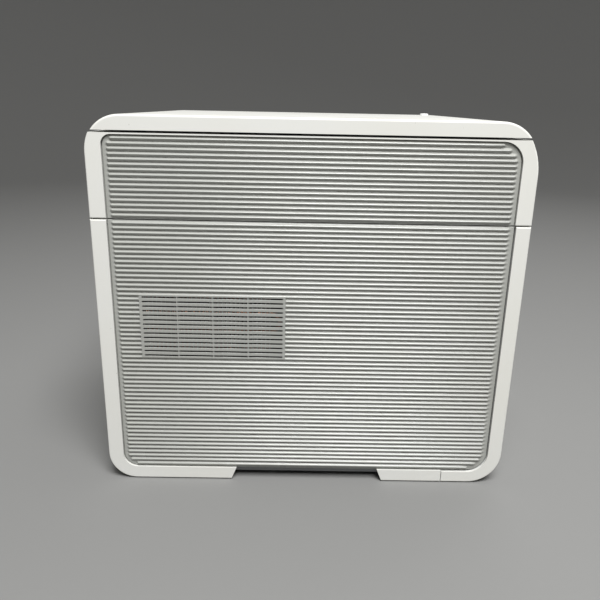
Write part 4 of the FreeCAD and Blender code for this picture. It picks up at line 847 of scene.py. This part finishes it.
pull_rings = [
    (0.001, 0.001, 0.001, back), (a - 0.001, b - 0.001, 0.003, back), (a, b, 0.003, back - 0.001),
    (a, b, 0.002, face + 0.0004), (a - 0.0004, b - 0.0004, 0.002, face),
    (a - 0.0012, b - 0.0012, 0.004, face),
    (a - 0.0018, b - 0.0018, 0.005, face + 0.0006), (a - 0.0022, b - 0.0022, 0.006, face + 0.003),
    (a - 0.003, b - 0.003, 0.007, face + 0.0065), (a - 0.0048, b - 0.0048, 0.007, face + 0.0092),
    (a - 0.0075, b - 0.0075, 0.006, back - 0.0015), (0.001, 0.001, 0.001, back - 0.0015),
]
pull_grid = stacked(pull_rings, "y", (middle[0], 0, middle[2]), steps=10, runs=10)
pull = surface("finger_pull", pull_grid, loop=True)
fit(pull, dark_grey, "door", "dark_grey_plastic", "handle_insert", crease=50)
nylon = finish(
    "bushing_nylon",
    {"Scale": 600.0, "Rough": 0.4, "Spread": 0.1},
    {"Clean": (0.75, 0.74, 0.68), "Aged": (0.66, 0.62, 0.5), "Edge": (0.8, 0.79, 0.74), "Dust": 0.1},
    0.2,
)
coat(nylon, "door_bushings")

# -------------------------------------------------------------------------------------- control strip
# A dark grey bezel snapped into the upper housing frames a smoked window and three white keys, each
# moulded with a shallow dish for the fingertip and a flange behind that keeps it in.

coat(dark_grey, "control_bezel")
smoked = clear_finish("smoked_window", (0.05, 0.055, 0.06), 0.05, 900.0)
smoked.node_tree.nodes["Principled BSDF"].inputs["Transmission Weight"].default_value = 0.25
coat(smoked, "display_window")
key_profile = [
    (0, 0.0088), (0.0055, 0.0088), (0.0055, 0.0063), (0.007, 0.0063), (0.007, 0.0053), (0.0055, 0.0053),
    (0.0055, 0.0008), (0.0054, 0.0004), (0.0051, 0.0001), (0.0047, 0.0), (0.0042, 0.0001), (0.0034, 0.0004),
    (0.0022, 0.0007), (0.001, 0.00085), (0, 0.0009),
]
for label in ("power", "colder", "warmer"):
    low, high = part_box(f"button_{label}")
    middle = (low + high) / 2
    grid = turned(np.add(key_profile, (0, low[1])), 64, "y", (middle[0], middle[2]))
    key = surface(f"{label}_key_cap", grid, loop=True)
    fit(key, white_plastic, f"{label}_key", "white_shell", f"button_{label}", crease=30)

# ------------------------------------------------------------------------------------------------- lid
# The lid's liner is a shallow plug that drops into the tub, with a thin seal round it. Two pairs of
# knuckles turn on steel pins at the back. A spring button near the front right lets air in, so the lid
# doesn't hold down by suction.

coat(white_plastic, "housing_hinge_knuckles", "lid_hinge_knuckles")
lip = [
    (-3.4, 1), (3.4, 1), (3.4, 0.8), (2.2, 0.62), (3.2, 0.35), (2.4, 0.05), (0, 0), (-2.4, 0.05),
    (-3.2, 0.35),
    (-2.2, 0.62), (-3.4, 0.8),
]
seal("lid_seal", "lid_gasket", "lid", "z", lip, seal_rubber)
low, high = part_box("vacuum_release_button")
middle = (low + high) / 2
stem, top = low[2], high[2]
valve_profile = [
    (0, stem), (0.0015, stem), (0.002, stem + 0.0005), (0.002, top - 0.0086), (0.0076, top - 0.0086),
    (0.0076, top - 0.007), (0.006, top - 0.007), (0.006, top - 0.0012), (0.0058, top - 0.0005),
    (0.0053, top - 0.0001), (0.0048, top), (0.004, top - 0.0003), (0.0025, top - 0.0008), (0, top - 0.001),
]
gloss_white = finish(
    "gloss_white",
    {"Scale": 900.0, "Ripple": 0.3, "Ripple Scale": 60.0, "Rough": 0.16, "Spread": 0.08},
    {"Clean": (0.83, 0.83, 0.81), "Aged": (0.8, 0.79, 0.75), "Edge": (0.88, 0.88, 0.87), "Dust": 0.05},
    0.04,
    fixed=(("Coat Weight", 0.5), ("Coat Roughness", 0.06)),
)
valve = surface("air_release_cap", turned(valve_profile, 64, "z", middle[:2]), loop=True)
fit(valve, gloss_white, "vacuum_valve", "white_shell", "vacuum_release_button", crease=30)

# ------------------------------------------------------------------------------------------- rear face
# A slotted steel grille, coated grey and held by four cross-recess screws, covers the bay. The mains
# inlet and its rocker switch sit low on the left.

coat(dipped_grey, "rear_grille")
low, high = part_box("rear_screws")
head = high[1]
spin = np.linspace(0, 2 * np.pi, 64, endpoint=False)
# the domed head, its underside and the shank, as (radius, depth below the top) in millimetres
screw_profile = [
    (0, 0), (0.3, 0), (0.55, 0.01), (0.8, 0.02), (1.1, 0.04), (1.4, 0.07), (1.7, 0.1), (1.85, 0.12),
    (2.2, 0.17), (2.7, 0.3), (3.0, 0.42), (3.2, 0.55), (3.2, 0.9), (1.45, 0.9), (1.45, 9.4), (0.2, 9.9),
]
reach, drop_by = np.array(screw_profile).T[:, :, None] / 1000
arm = np.minimum(np.abs(np.cos(spin)), np.abs(np.sin(spin)))[None, :] * reach
recess = np.where((arm < 0.00042) & (reach < 0.0018), 0.0006, 0)
head_radius = 0.0032
screw_places = [
    (x, z)
    for x in (low[0] + head_radius, high[0] - head_radius)
    for z in (low[2] + head_radius, high[2] - head_radius)
]
for number, (x, z) in enumerate(screw_places):
    grid = np.stack([x + reach * np.cos(spin), head - drop_by - recess, z + reach * np.sin(spin)], -1)
    screw = surface(f"grille_screw_{number}", grid, loop=True)
    fit(screw, zinc, "cabinet", "zinc_steel", "rear_screws", crease=30)
